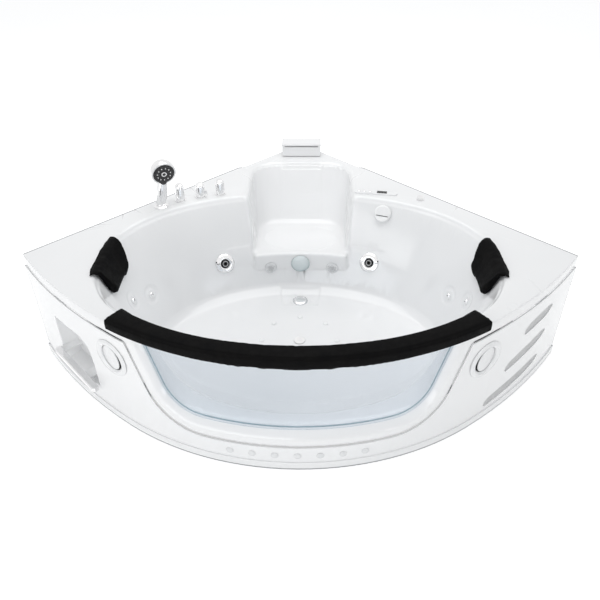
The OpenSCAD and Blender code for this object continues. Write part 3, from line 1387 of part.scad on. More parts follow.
tub_shell();
skirt_panel();
slot_inlays();
window_glass();
window_seal();
waterfall_body();
waterfall_cover();
shower_holder();
tap_bodies();
overflow_body();
drain_body();
drain_trap();
jet_bodies();
side_jet_bodies();
suction_bodies();
suction_covers();
lamp_housing();
lamp_lens();
floor_air_jets();
floor_lamp();
panel_bezel();
panel_display();
air_valve_body();
towel_rail();
rail_brackets();
speaker_rings();
speaker_covers();
speaker_drivers();
led_lenses();
support_frame();
frame_feet();
pump_body();
pump_motor();
air_blower();
control_box();
water_pipes();
air_pipes();
front_cushion();
air_knob();
pillow_left();
pillow_right();
shower_handset();
shower_face();
shower_nozzles();
hot_tap_handle();
diverter_handle();
cold_tap_handle();
overflow_knob();
drain_plug();
jet_ring_left();
jet_ring_right();
jet_ball_left();
jet_ball_right();
side_nozzle_1();
side_nozzle_2();
side_nozzle_3();
side_nozzle_4();
button_jets();
button_air();
button_light();
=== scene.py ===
"""Looks of the jetted corner bath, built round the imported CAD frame.

Lengths in the helpers are millimetres, as in the CAD. Blender gets metres.
"""

import json
import math
from math import acos, asin, atan2, cos, degrees, pi, radians, sin, sqrt

import bmesh
import bpy
import numpy as np
from mathutils import Matrix, Vector


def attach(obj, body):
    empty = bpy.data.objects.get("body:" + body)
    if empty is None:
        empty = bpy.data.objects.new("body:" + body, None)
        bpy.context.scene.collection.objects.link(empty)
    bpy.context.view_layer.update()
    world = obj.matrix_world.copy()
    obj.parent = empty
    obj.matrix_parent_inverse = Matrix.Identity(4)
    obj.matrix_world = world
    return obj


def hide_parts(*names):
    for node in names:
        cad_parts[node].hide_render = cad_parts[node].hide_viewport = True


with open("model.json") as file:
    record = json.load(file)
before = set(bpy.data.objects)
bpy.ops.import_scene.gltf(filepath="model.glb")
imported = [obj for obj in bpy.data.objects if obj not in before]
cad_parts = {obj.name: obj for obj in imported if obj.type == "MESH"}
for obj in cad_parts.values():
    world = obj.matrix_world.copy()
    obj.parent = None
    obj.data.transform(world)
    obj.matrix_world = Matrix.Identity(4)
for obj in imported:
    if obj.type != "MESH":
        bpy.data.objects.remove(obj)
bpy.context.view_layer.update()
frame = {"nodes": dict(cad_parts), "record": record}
NODES = frame["nodes"]
MM = 0.001

# ---------------------------------------------------------------- the CAD's own sizes
WALL_LEN, RIM_H, BULGE, FRONT_R, FRONT_HALF = 1500.0, 480.0, 620.0, 1080.0, 35.0
SKIRT_PROUD, RIM_W, RIM_ROUND = 4.0, 91.0, 16.0
BASIN_HALF, BASIN_BACK, BASIN_FRONT, DEPTH = 750.0, 530.0, 490.0, 405.0
FOOT_HALF, FOOT_BACK, FOOT_FRONT, BORDER_H = 580.0, 385.0, 420.0, 25.0
RISER_D, RISER_R = 693.0, 985.0
CUSHION_R, CUSHION_DEEP, CUSHION_OVER, CUSHION_HALF = 1055.0, 91.0, 16.0, 33.3
BALL_Z, OVERFLOW_R, SPEAKER_S, SPEAKER_Z = -4.0, 37.0, 689.0, 322.0
BIG_JETS = (("left", (122, 222)), ("right", (61, 222)))  # angle round the basin, height
SIDE_JETS = ((16, 232), (2, 280), (164, 232), (178, 280))
OVERFLOW = (62, 428)
SUCTION_X, SUCTION_Z, LAMP_Z = (-134, 144), 180, 197
DRAIN_D, AIR_RING_D = 812, 1085
EDGE_SHADE_WIDTH = 0.009  # metres, the width of the grey band of painted shade along the walls; 0.6 of it is the height of the painted contact shadow at the foot

HALF_WIDE = WALL_LEN / sqrt(2)
FRONT_D = HALF_WIDE + BULGE
MIDDLE_D = (FRONT_D + CUSHION_OVER) / 2
FRONT_C = FRONT_D - FRONT_R
JOIN_X = FRONT_R * sin(radians(FRONT_HALF))
JOIN_D = FRONT_C + FRONT_R * cos(radians(FRONT_HALF))
CHORD = degrees(atan2(JOIN_D - HALF_WIDE, HALF_WIDE - JOIN_X))
SIDE_R = sqrt((HALF_WIDE - JOIN_X) ** 2 + (JOIN_D - HALF_WIDE) ** 2) / (
    2 * sin(radians(CHORD - FRONT_HALF))
)
SIDE_CX = JOIN_X - SIDE_R * sin(radians(FRONT_HALF))
SIDE_CD = JOIN_D - SIDE_R * cos(radians(FRONT_HALF))
JOIN_S = FRONT_R * radians(FRONT_HALF)
FLOOR_Z = RIM_H - DEPTH
FOOT_Z = FLOOR_Z + BORDER_H
KNEE_Z = FOOT_Z + 50
BASIN_D = FRONT_D - RIM_W - BASIN_FRONT
RISER_C = RISER_D + RISER_R
CUSHION_C = FRONT_D + CUSHION_OVER - CUSHION_DEEP - CUSHION_R


def wy(d):
    return MIDDLE_D - d


def share(z):
    return (RIM_H - z) / (RIM_H - FOOT_Z)


def bend(z):
    return 2.2 - 0.3 * share(z)


def half_w(z):
    return BASIN_HALF + (FOOT_HALF - BASIN_HALF) * share(z)


def back_l(z):
    return BASIN_BACK + (FOOT_BACK - BASIN_BACK) * share(z)


def front_l(z):
    high = BASIN_FRONT - 10 * (RIM_H - z) / (RIM_H - KNEE_Z)
    low = FOOT_FRONT + (BASIN_FRONT - 10 - FOOT_FRONT) * (z - FOOT_Z) / (KNEE_Z - FOOT_Z)
    return np.where(z > KNEE_Z, high, low)


def root(v, n):
    return math.copysign(abs(v) ** (2 / n), v)


def wall_p(a, z, grow=0.0):
    n, r = bend(z), radians(a)
    deep = back_l(z) if sin(r) > 0 else float(front_l(z))
    return Vector(
        ((half_w(z) + grow) * root(cos(r), n), wy(BASIN_D) + (deep + grow) * root(sin(r), n), z)
    )


def wall_n(a, z):
    u = wall_p(a + 0.5, z) - wall_p(a - 0.5, z)
    v = wall_p(a, z + 1) - wall_p(a, z - 1)
    return v.cross(u).normalized()


def front_dir(s):
    a = abs(s)
    deg = degrees(a / FRONT_R) if a < JOIN_S else FRONT_HALF + degrees((a - JOIN_S) / SIDE_R)
    return math.copysign(deg, s)


def front_at(s, inset=0.0):
    a, side = radians(abs(front_dir(s))), math.copysign(1, s)
    if abs(s) < JOIN_S:
        return side * (FRONT_R - inset) * sin(a), wy(FRONT_C + (FRONT_R - inset) * cos(a))
    return side * (SIDE_CX + (SIDE_R - inset) * sin(a)), wy(SIDE_CD + (SIDE_R - inset) * cos(a))


def turn(axis, deg):
    return Matrix.Rotation(radians(deg), 4, axis)


def on_wall(a, z):
    n = wall_n(a, z)
    return (
        Matrix.Translation(wall_p(a, z))
        @ turn("Z", degrees(atan2(n[1], n[0])))
        @ turn("Y", degrees(acos(n[2])))
    )


def on_front(s, z, inset=0.0):
    x, y = front_at(s, inset)
    return Matrix.Translation((x, y, z)) @ turn("Z", front_dir(s)) @ turn("X", 90)


def on_riser(x, z):
    return (
        Matrix.Translation((x, wy(RISER_C - sqrt(RISER_R**2 - x * x)), z))
        @ turn("Z", -degrees(asin(x / RISER_R)))
        @ turn("X", 90)
    )


# ---------------------------------------------------------------- materials
def new_material(name):
    m = bpy.data.materials.new(name)
    m.use_nodes = True
    nt = m.node_tree
    nt.nodes.clear()
    out = nt.nodes.new("ShaderNodeOutputMaterial")
    return m, nt, out


def node(nt, kind, **values):
    n = nt.nodes.new(kind)
    for k, v in values.items():
        if k in n.inputs:
            n.inputs[k].default_value = v
        else:
            setattr(n, k, v)
    return n


def noise(nt, scale, detail=3.0, rough=0.5, stretch=None):
    coords = node(nt, "ShaderNodeTexCoord")
    mapping = node(nt, "ShaderNodeMapping")
    if stretch:
        mapping.inputs["Scale"].default_value = stretch
    nt.links.new(coords.outputs["Object"], mapping.inputs["Vector"])
    tex = node(nt, "ShaderNodeTexNoise", Scale=scale, Detail=detail, Roughness=rough)
    nt.links.new(mapping.outputs["Vector"], tex.inputs["Vector"])
    return tex.outputs["Fac"]


def ramp(nt, fac, low, high, a, b):
    r = node(nt, "ShaderNodeValToRGB")
    e = r.color_ramp.elements
    e[0].position, e[1].position = low, high
    e[0].color = (*a, 1) if len(a) == 3 else a
    e[1].color = (*b, 1) if len(b) == 3 else b
    nt.links.new(fac, r.inputs["Fac"])
    return r.outputs["Color"]


def span(nt, fac, low, high, a, b):
    r = node(nt, "ShaderNodeMapRange")
    r.inputs["From Min"].default_value, r.inputs["From Max"].default_value = low, high
    r.inputs["To Min"].default_value, r.inputs["To Max"].default_value = a, b
    nt.links.new(fac, r.inputs["Value"])
    return r.outputs["Result"]


def bump(nt, height, strength, distance, normal=None):
    b = node(nt, "ShaderNodeBump", Strength=strength, Distance=distance)
    nt.links.new(height, b.inputs["Height"])
    if normal is not None:
        nt.links.new(normal, b.inputs["Normal"])
    return b.outputs["Normal"]


def principled(nt, out, colour=None, rough=None, normal=None, **values):
    p = node(nt, "ShaderNodeBsdfPrincipled")
    for k, v in values.items():
        p.inputs[k.replace("_", " ")].default_value = v
    for socket, link in (("Base Color", colour), ("Roughness", rough), ("Normal", normal)):
        if link is not None:
            nt.links.new(link, p.inputs[socket])
    nt.links.new(p.outputs["BSDF"], out.inputs["Surface"])
    return p


def moulded(name, low, high, rough=(0.25, 0.35), scale=40.0, grain=900.0, depth=0.00004, **values):
    """Moulded plastic or lacquer: a faint drift of colour and gloss, and a fine grain."""
    m, nt, out = new_material(name)
    drift = noise(nt, scale, 2)
    colour = ramp(nt, drift, 0.35, 0.65, low, high)
    shine = span(nt, noise(nt, scale * 3, 3), 0.3, 0.7, *rough)
    fine = noise(nt, grain, 2)
    principled(nt, out, colour, shine, bump(nt, fine, 0.25, depth), **values)
    return m


def maths(nt, operation, a, b=None):
    """A math node on two inputs, each a link or a plain number."""
    m = node(nt, "ShaderNodeMath", operation=operation)
    for i, v in enumerate((a, b)):
        if isinstance(v, (int, float)):
            m.inputs[i].default_value = v
        elif v is not None:
            nt.links.new(v, m.inputs[i])
    return m.outputs[0]


def painted_edge_shade(nt, colour):
    """Paints shade in grey: a band along the two walls for the rim's shaded outer edge, and a contact
    shadow along the bottom edge of the skirt.
    """
    coords = node(nt, "ShaderNodeTexCoord")
    xyz = node(nt, "ShaderNodeSeparateXYZ")
    nt.links.new(coords.outputs["Object"], xyz.inputs[0])
    from_wall = maths(nt, "SUBTRACT", MIDDLE_D * MM, xyz.outputs[1])
    from_wall = maths(nt, "SUBTRACT", from_wall, maths(nt, "ABSOLUTE", xyz.outputs[0]))
    # the band of painted shade along the two walls
    line = maths(nt, "LESS_THAN", from_wall, EDGE_SHADE_WIDTH)
    # the painted contact shadow along the skirt's bottom edge
    low = maths(nt, "LESS_THAN", xyz.outputs[2], EDGE_SHADE_WIDTH * 0.6)
    mix = node(nt, "ShaderNodeMix", data_type="RGBA")
    # painted shade: the grey of the wall band and of the contact shadow at the foot
    mix.inputs["B"].default_value = (0.3, 0.31, 0.32, 1)
    nt.links.new(maths(nt, "MAXIMUM", line, low), mix.inputs["Factor"])
    nt.links.new(colour, mix.inputs["A"])
    return mix.outputs["Result"]


def acrylic():
    m, nt, out = new_material("acrylic_gloss")
    colour = ramp(nt, noise(nt, 2.5, 2), 0.3, 0.7, (0.865, 0.87, 0.875), (0.89, 0.893, 0.897))
    # painted shade along the wall edges and a painted contact shadow at the foot
    colour = painted_edge_shade(nt, colour)
    shine = span(nt, noise(nt, 18, 3), 0.3, 0.7, 0.13, 0.2)
    wave = bump(nt, noise(nt, 9, 1), 0.12, 0.002)
    normal = bump(nt, noise(nt, 380, 2), 0.05, 0.0001, wave)
    principled(nt, out, colour, shine, normal, Coat_Weight=0.35, Coat_Roughness=0.05)
    return m


def leather():
    m, nt, out = new_material("black_leather")
    coords = node(nt, "ShaderNodeTexCoord")
    cells = node(nt, "ShaderNodeTexVoronoi", feature="DISTANCE_TO_EDGE", Scale=620.0)
    warp = node(nt, "ShaderNodeTexNoise", Scale=260.0, Detail=2.0)
    mix = node(nt, "ShaderNodeMix", data_type="VECTOR")
    mix.inputs["Factor"].default_value = 0.004
    nt.links.new(coords.outputs["Object"], warp.inputs["Vector"])
    nt.links.new(coords.outputs["Object"], mix.inputs["A"])
    nt.links.new(warp.outputs["Color"], mix.inputs["B"])
    nt.links.new(mix.outputs["Result"], cells.inputs["Vector"])
    pits = span(nt, cells.outputs["Distance"], 0.0, 0.12, 0.0, 1.0)
    colour = ramp(nt, noise(nt, 22, 3), 0.3, 0.7, (0.003, 0.003, 0.0034), (0.0052, 0.005, 0.0049))
    shine = span(nt, noise(nt, 60, 3), 0.3, 0.7, 0.5, 0.66)
    soft = bump(nt, noise(nt, 14, 2), 0.25, 0.004)
    principled(nt, out, colour, shine, bump(nt, pits, 0.35, 0.0002, soft), Specular_IOR_Level=0.035)
    return m


def chrome(name="chrome_polished", tone=0.82, rough=(0.05, 0.1)):
    m, nt, out = new_material(name)
    colour = ramp(nt, noise(nt, 30, 2), 0.3, 0.7, (tone, tone, tone * 1.01), (tone + 0.06,) * 3)
    shine = span(nt, noise(nt, 120, 3), 0.3, 0.7, *rough)
    principled(nt, out, colour, shine, bump(nt, noise(nt, 500, 2), 0.05, 0.00003), Metallic=1.0)
    return m


def pale_glass():
    """A pane that tints what is behind it and mirrors more at a shallow angle."""
    m, nt, out = new_material("tinted_glass")
    tint = ramp(nt, noise(nt, 1.6, 1), 0.3, 0.7, (0.865, 0.888, 0.91), (0.89, 0.908, 0.928))
    clear = node(nt, "ShaderNodeBsdfTransparent")
    gloss = node(nt, "ShaderNodeBsdfGlossy", Roughness=0.04, Color=(0.9, 0.95, 1, 1))
    facing = node(nt, "ShaderNodeLayerWeight", Blend=0.5)
    steep = node(nt, "ShaderNodeMath", operation="POWER")
    steep.inputs[1].default_value = 5.0
    share_out = node(nt, "ShaderNodeMath", operation="MULTIPLY_ADD")
    share_out.inputs[1].default_value, share_out.inputs[2].default_value = 0.96, 0.04
    mix = node(nt, "ShaderNodeMixShader")
    nt.links.new(tint, clear.inputs["Color"])
    nt.links.new(facing.outputs["Facing"], steep.inputs[0])
    nt.links.new(steep.outputs[0], share_out.inputs[0])
    nt.links.new(share_out.outputs[0], mix.inputs["Fac"])
    nt.links.new(clear.outputs["BSDF"], mix.inputs[1])
    nt.links.new(gloss.outputs["BSDF"], mix.inputs[2])
    nt.links.new(mix.outputs["Shader"], out.inputs["Surface"])
    return m


def steel():
    m, nt, out = new_material("galvanised_steel")
    coords = node(nt, "ShaderNodeTexCoord")
    flakes = node(nt, "ShaderNodeTexVoronoi", Scale=90.0)
    nt.links.new(coords.outputs["Object"], flakes.inputs["Vector"])
    colour = ramp(nt, flakes.outputs["Distance"], 0.1, 0.7, (0.42, 0.44, 0.46), (0.6, 0.62, 0.64))
    shine = span(nt, noise(nt, 70, 3), 0.3, 0.7, 0.32, 0.5)
    principled(nt, out, colour, shine, bump(nt, noise(nt, 260, 2), 0.2, 0.0001), Metallic=0.9)
    return m


def dome_glass():
    """A frosted dome, deeper in tone towards its edge."""
    m, nt, out = new_material("lamp_dome")
    facing = node(nt, "ShaderNodeLayerWeight", Blend=0.45)
    tone = ramp(nt, facing.outputs["Facing"], 0.05, 0.7, (0.74, 0.8, 0.81), (0.36, 0.45, 0.47))
    ridges = noise(nt, 90, 2)
    shine = span(nt, noise(nt, 40, 2), 0.3, 0.7, 0.08, 0.16)
    principled(nt, out, tone, shine, bump(nt, ridges, 0.15, 0.0006), Coat_Weight=0.6)
    return m


MATS = {
    "acrylic": acrylic(),
    # grey mouldings, and painted shade at the bottom of the skirt's recessed slots
    "grey_plastic": moulded("grey_moulding_recess_shade", (0.5, 0.505, 0.505), (0.56, 0.565, 0.565), (0.4, 0.5)),
    "glass": pale_glass(),
    "grey_rubber": moulded("seal_rubber", (0.3, 0.42, 0.46), (0.36, 0.48, 0.52), (0.4, 0.55)),
    "chrome": chrome(),
    "pipe": moulded("pipe_pvc", (0.6, 0.61, 0.62), (0.7, 0.7, 0.7), (0.3, 0.42)),
    "white_plastic": moulded("white_moulding", (0.84, 0.845, 0.85), (0.88, 0.885, 0.89), (0.18, 0.26)),
    "black_plastic": moulded("black_moulding", (0.012, 0.012, 0.013), (0.02, 0.02, 0.021), (0.22, 0.34)),
    "dark_plastic": moulded("dark_moulding", (0.03, 0.032, 0.036), (0.05, 0.052, 0.056), (0.2, 0.35)),
    "lens": moulded(
        "frosted_lens", (0.66, 0.72, 0.74), (0.76, 0.81, 0.83), (0.1, 0.2), Transmission_Weight=0.35
    ),
    "frame_steel": steel(),
    "motor": moulded("motor_paint", (0.05, 0.07, 0.1), (0.075, 0.1, 0.14), (0.35, 0.5)),
    "box_plastic": moulded("box_moulding", (0.32, 0.33, 0.34), (0.4, 0.41, 0.42), (0.35, 0.5)),
    "foam": leather(),
}


def shade_group():
    """Merges the frame's split corners and shades smooth over shallow edges.

    The mesh itself stays as it is.
    """
    g = bpy.data.node_groups.new("smooth_shallow_edges", "GeometryNodeTree")
    g.interface.new_socket("Geometry", in_out="INPUT", socket_type="NodeSocketGeometry")
    g.interface.new_socket("Geometry", in_out="OUTPUT", socket_type="NodeSocketGeometry")
    link = g.links.new
    start, end = g.nodes.new("NodeGroupInput"), g.nodes.new("NodeGroupOutput")
    drop = g.nodes.new("GeometryNodeRemoveAttribute")
    drop.inputs["Name"].default_value = "custom_normal"
    merge = g.nodes.new("GeometryNodeMergeByDistance")
    merge.inputs["Distance"].default_value = 0.00002
    faces, edges = g.nodes.new("GeometryNodeSetShadeSmooth"), g.nodes.new("GeometryNodeSetShadeSmooth")
    edges.domain = "EDGE"
    edges.inputs["Shade Smooth"].default_value = False
    angle = g.nodes.new("GeometryNodeInputMeshEdgeAngle")
    steep = g.nodes.new("FunctionNodeCompare")
    steep.operation = "GREATER_THAN"
    steep.inputs["B"].default_value = radians(28)
    link(start.outputs[0], drop.inputs["Geometry"])
    link(drop.outputs["Geometry"], merge.inputs["Geometry"])
    link(merge.outputs["Geometry"], faces.inputs["Geometry"])
    link(faces.outputs["Geometry"], edges.inputs["Geometry"])
    link(angle.outputs["Unsigned Angle"], steep.inputs["A"])
    link(steep.outputs["Result"], edges.inputs["Selection"])
    link(edges.outputs["Geometry"], end.inputs[0])
    return g


SHADE = shade_group()


def slot_of(name):
    for entry in SUBPARTS:
        if entry["node"] == name:
            return entry["material_slot"]
    return None


def find_subparts(record):
    stack = [record]
    while stack:
        x = stack.pop()
        if isinstance(x, list):
            if x and isinstance(x[0], dict) and "node" in x[0] and "material_slot" in x[0]:
                return x
            stack.extend(x)
        elif isinstance(x, dict):
            stack.extend(x.values())
    raise SystemExit("the record lists no sub-parts")


OWN_LOOKS = {
    "lamp_lens": dome_glass(),
    "led_lenses": moulded("led_cap", (0.74, 0.75, 0.76), (0.8, 0.805, 0.81), (0.15, 0.25)),
    "drain_plug": chrome("satin_plug", 0.86, (0.28, 0.36)),
    "drain_body": chrome("satin_flange", 0.86, (0.2, 0.3)),
    "suction_covers": moulded("grille_moulding", (0.74, 0.75, 0.76), (0.8, 0.805, 0.81), (0.2, 0.3)),
    "floor_air_jets": moulded("air_cap", (0.88, 0.885, 0.89), (0.92, 0.922, 0.925), (0.18, 0.26)),
    "overflow_knob": moulded("knob_gloss", (0.9, 0.903, 0.906), (0.94, 0.942, 0.944), (0.14, 0.2)),
    "towel_rail": chrome("rail_chrome", 0.8, (0.12, 0.2)),
}
SUBPARTS = find_subparts(frame["record"])
for name, obj in NODES.items():
    obj.data.materials.clear()
    obj.data.materials.append(OWN_LOOKS.get(name) or MATS[slot_of(name)])
    mod = obj.modifiers.new("shade", "NODES")
    mod.node_group = SHADE


# ---------------------------------------------------------------- mesh helpers
def link_mesh(name, mesh, material, body, smooth=True):
    obj = bpy.data.objects.new(name, mesh)
    bpy.context.scene.collection.objects.link(obj)
    mesh.materials.clear()
    mesh.materials.append(MATS[material] if isinstance(material, str) else material)
    if smooth:
        mesh.polygons.foreach_set("use_smooth", [True] * len(mesh.polygons))
    if body:
        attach(obj, body)
    return obj


def grid_mesh(name, rows, close_u=True, close_v=False, caps=False):
    """A mesh through rows of points in metres. Each row closes on itself if close_u."""
    m, n = len(rows), len(rows[0])
    verts = [tuple(p) for r in rows for p in r]
    faces = []
    for j in range(m if close_v else m - 1):
        k = (j + 1) % m
        for i in range(n if close_u else n - 1):
            q = (i + 1) % n
            faces.append((j * n + i, j * n + q, k * n + q, k * n + i))
    if caps:
        faces.append(tuple(range(n - 1, -1, -1)))
        faces.append(tuple((m - 1) * n + i for i in range(n)))
    mesh = bpy.data.meshes.new(name)
    mesh.from_pydata(verts, [], faces)
    bm = bmesh.new()
    bm.from_mesh(mesh)
    bmesh.ops.remove_doubles(bm, verts=bm.verts, dist=1e-7)
    bmesh.ops.dissolve_degenerate(bm, edges=bm.edges, dist=1e-8)
    bmesh.ops.recalc_face_normals(bm, faces=bm.faces)
    bm.to_mesh(mesh)
    bm.free()
    return mesh


def fillet(profile, radius, steps=4):
    """A profile of (r, z) points with each inner corner rounded."""
    out = [profile[0]]
    for a, b, c in zip(profile, profile[1:], profile[2:]):
        u, v = Vector((a[0] - b[0], a[1] - b[1])), Vector((c[0] - b[0], c[1] - b[1]))
        cut = min(radius, u.length * 0.45, v.length * 0.45)
        if cut < 0.02:
            out.append(b)
            continue
        p, q, mid = Vector(b) + u.normalized() * cut, Vector(b) + v.normalized() * cut, Vector(b)
        for i in range(steps + 1):
            t = i / steps
            w = p * (1 - t) ** 2 + mid * 2 * t * (1 - t) + q * t * t
            out.append((w.x, w.y))
    out.append(profile[-1])
    return out


def coords(mesh):
    co = np.empty(len(mesh.vertices) * 3)
    mesh.vertices.foreach_get("co", co)
    return co.reshape(-1, 3)


def set_coords(mesh, co):
    mesh.vertices.foreach_set("co", co.astype(np.float32).ravel())
    mesh.update()


def evaluated(obj):
    """The object's mesh with its modifiers, as a new mesh."""
    dg = bpy.context.evaluated_depsgraph_get()
    return bpy.data.meshes.new_from_object(obj.evaluated_get(dg))


def drop(obj):
    mesh = obj.data
    bpy.data.objects.remove(obj)
    if mesh and mesh.users == 0:
        bpy.data.meshes.remove(mesh)


def welded_copy(node_name):
    """A plain object with the node's mesh, its split corners merged."""
    mesh = NODES[node_name].data.copy()
    if "custom_normal" in mesh.attributes:
        mesh.attributes.remove(mesh.attributes["custom_normal"])
    bm = bmesh.new()
    bm.from_mesh(mesh)
    bmesh.ops.remove_doubles(bm, verts=bm.verts, dist=1e-5)
    bm.to_mesh(mesh)
    bm.free()
    obj = bpy.data.objects.new(node_name + "_copy", mesh)
    bpy.context.scene.collection.objects.link(obj)
    return obj


def voxel(obj, size):
    mod = obj.modifiers.new("voxel", "REMESH")
    mod.mode, mod.voxel_size = "VOXEL", size
    mesh = evaluated(obj)
    old = obj.data
    obj.modifiers.clear()
    obj.data = mesh
    bpy.data.meshes.remove(old)
    return obj


def edge_list(mesh):
    e = np.empty(len(mesh.edges) * 2, np.int64)
    mesh.edges.foreach_get("vertices", e)
    return e.reshape(-1, 2)


def relax(co, edges, weight, rounds, factor=0.5):
    """Moves each point towards the mean of its neighbours, by weight."""
    n = len(co)
    a, b = edges[:, 0], edges[:, 1]
    count = np.bincount(a, minlength=n) + np.bincount(b, minlength=n)
    count = np.maximum(count, 1)
    w = (weight * factor)[:, None]
    for _ in range(rounds):
        mean = np.empty_like(co)
        for k in range(3):
            v = co[:, k]
            mean[:, k] = (
                np.bincount(a, weights=v[b], minlength=n) + np.bincount(b, weights=v[a], minlength=n)
            ) / count
        co = co + (mean - co) * w
    return co


def step(x, low, high):
    t = np.clip((x - low) / (high - low), 0, 1)
    return t * t * (3 - 2 * t)


# ---------------------------------------------------------------- the shell
NEWTON_STEPS = 12


def basin_share(x, y, z):
    """How far out a point lies between the basin's middle (0) and its wall (1)."""
    zz = np.clip(z, FOOT_Z, RIM_H)
    n = bend(zz)
    deep = np.where(y > wy(BASIN_D), back_l(zz), front_l(zz))
    return (np.abs(x) / half_w(zz)) ** n + (np.abs(y - wy(BASIN_D)) / deep) ** n, n, deep


def growth(x, y):
    """How far outside the basin's line at the rim each point lies, by Newton's steps."""
    deep = np.where(y > wy(BASIN_D), BASIN_BACK, BASIN_FRONT)
    u, v, n = np.abs(x), np.abs(y - wy(BASIN_D)), 2.2
    g = np.zeros(len(x))
    for _ in range(NEWTON_STEPS):
        a, b = np.maximum(u / (BASIN_HALF + g), 1e-6), np.maximum(v / (deep + g), 1e-6)
        slope = n * (a**n / (BASIN_HALF + g) + b**n / (deep + g))
        g = np.clip(g + (a**n + b**n - 1) / slope, -300, 900)
    return g, deep


def in_alcove(x, y, z):
    return (np.abs(x) < 252) & (y > wy(760)) & (z > 196)


def on_form(co):
    """Puts the inner wall, the rim's arc and the flat deck back onto their own smooth forms."""
    x, y, z = co.T.copy()
    mid = wy(BASIN_D)
    f, n, _ = basin_share(x, y, z)
    r = np.maximum(f ** (1 / n), 1e-6)
    g, deep = growth(x, y)
    start = RIM_H - RIM_ROUND
    rise = np.maximum(z - start, 0)
    rho = np.maximum(np.hypot(RIM_ROUND - g, rise), 1e-6)
    g1 = np.where(rise > 0, RIM_ROUND - RIM_ROUND * (RIM_ROUND - g) / rho, 0)
    z1 = np.where(rise > 0, start + RIM_ROUND * rise / rho, z)
    t = step(z, 458, 472)
    tx = x / r * (1 - t) + x * (BASIN_HALF + g1) / (BASIN_HALF + g) * t
    ty = (y - mid) * ((1 - t) / r + t * (deep + g1) / (deep + g)) + mid
    tz = z * (1 - t) + z1 * t
    gap = np.sqrt((tx - x) ** 2 + (ty - y) ** 2 + (tz - z) ** 2)
    w = 1 - step(gap, 2.4, 3.6)
    glazed = (y < wy(1290)) & (np.abs(x) < 640) & (z < 456)
    w = np.where((z < FOOT_Z + 6) | in_alcove(x, y, z) | glazed | (g > RIM_ROUND), 0, w)
    x, y, z = x + (tx - x) * w, y + (ty - y) * w, z + (tz - z) * w
    deck = (np.abs(z - RIM_H) < 1.2) & (g > RIM_ROUND) & (g < 600)
    return np.stack([x, y, np.where(deck, RIM_H, z)], 1)


def make_shell():
    obj = welded_copy("tub_shell")
    voxel(obj, 0.004)
    mesh = obj.data
    co = coords(mesh) / MM
    edges = edge_list(mesh)
    x, y, z = co.T
    d = MIDDLE_D - y
    f, n, deep = basin_share(x, y, z)
    r = f ** (1 / n)
    # where the shell may soften: round the seat, at the floor's border, round the window
    alcove = step(z, 150, 200) * (1 - step(np.abs(x), 262, 290)) * (1 - step(d, 770, 800))
    border = (1 - step(z, 118, 140)) * step(r, 0.6, 0.7)
    window = step(d, 1290, 1330) * (1 - step(z, 458, 468)) * step(z, 84, 100)
    window = window * (1 - step(np.abs(x), 640, 690))
    soft = np.clip(np.maximum.reduce([alcove, border, window * 0.8]), 0, 1)
    pins = np.ones(len(co))
    spots = [(wall_p(*place), 50) for _, place in BIG_JETS] + [(wall_p(*OVERFLOW), 44)]
    spots += [(wall_p(a, b), 23) for a, b in SIDE_JETS]
    spots += [(on_riser(v, SUCTION_Z).translation, 34) for v in SUCTION_X]
    spots += [(on_riser(0, LAMP_Z).translation, 48)]
    spots += [(Vector((0, wy(d), FLOOR_Z)), reach) for d, reach in ((DRAIN_D, 42), (AIR_RING_D, 28))]
    for p, reach_mm in spots:
        gap = np.sqrt(((co - np.array(p)) ** 2).sum(1))
        pins = np.minimum(pins, step(gap, reach_mm, reach_mm + 14))
    moved = relax(co, edges, soft * pins, 26) - co
    length = np.sqrt((moved**2).sum(1))
    limit = np.where(window > 0.02, 1.8, np.where(alcove > 0.02, 9.0, 2.4))
    co = co + moved * (np.minimum(length, limit) / np.maximum(length, 1e-9))[:, None]
    co = relax(co, edges, 0.35 + 0.65 * pins, 2)
    return obj, mesh, on_form(co), edges


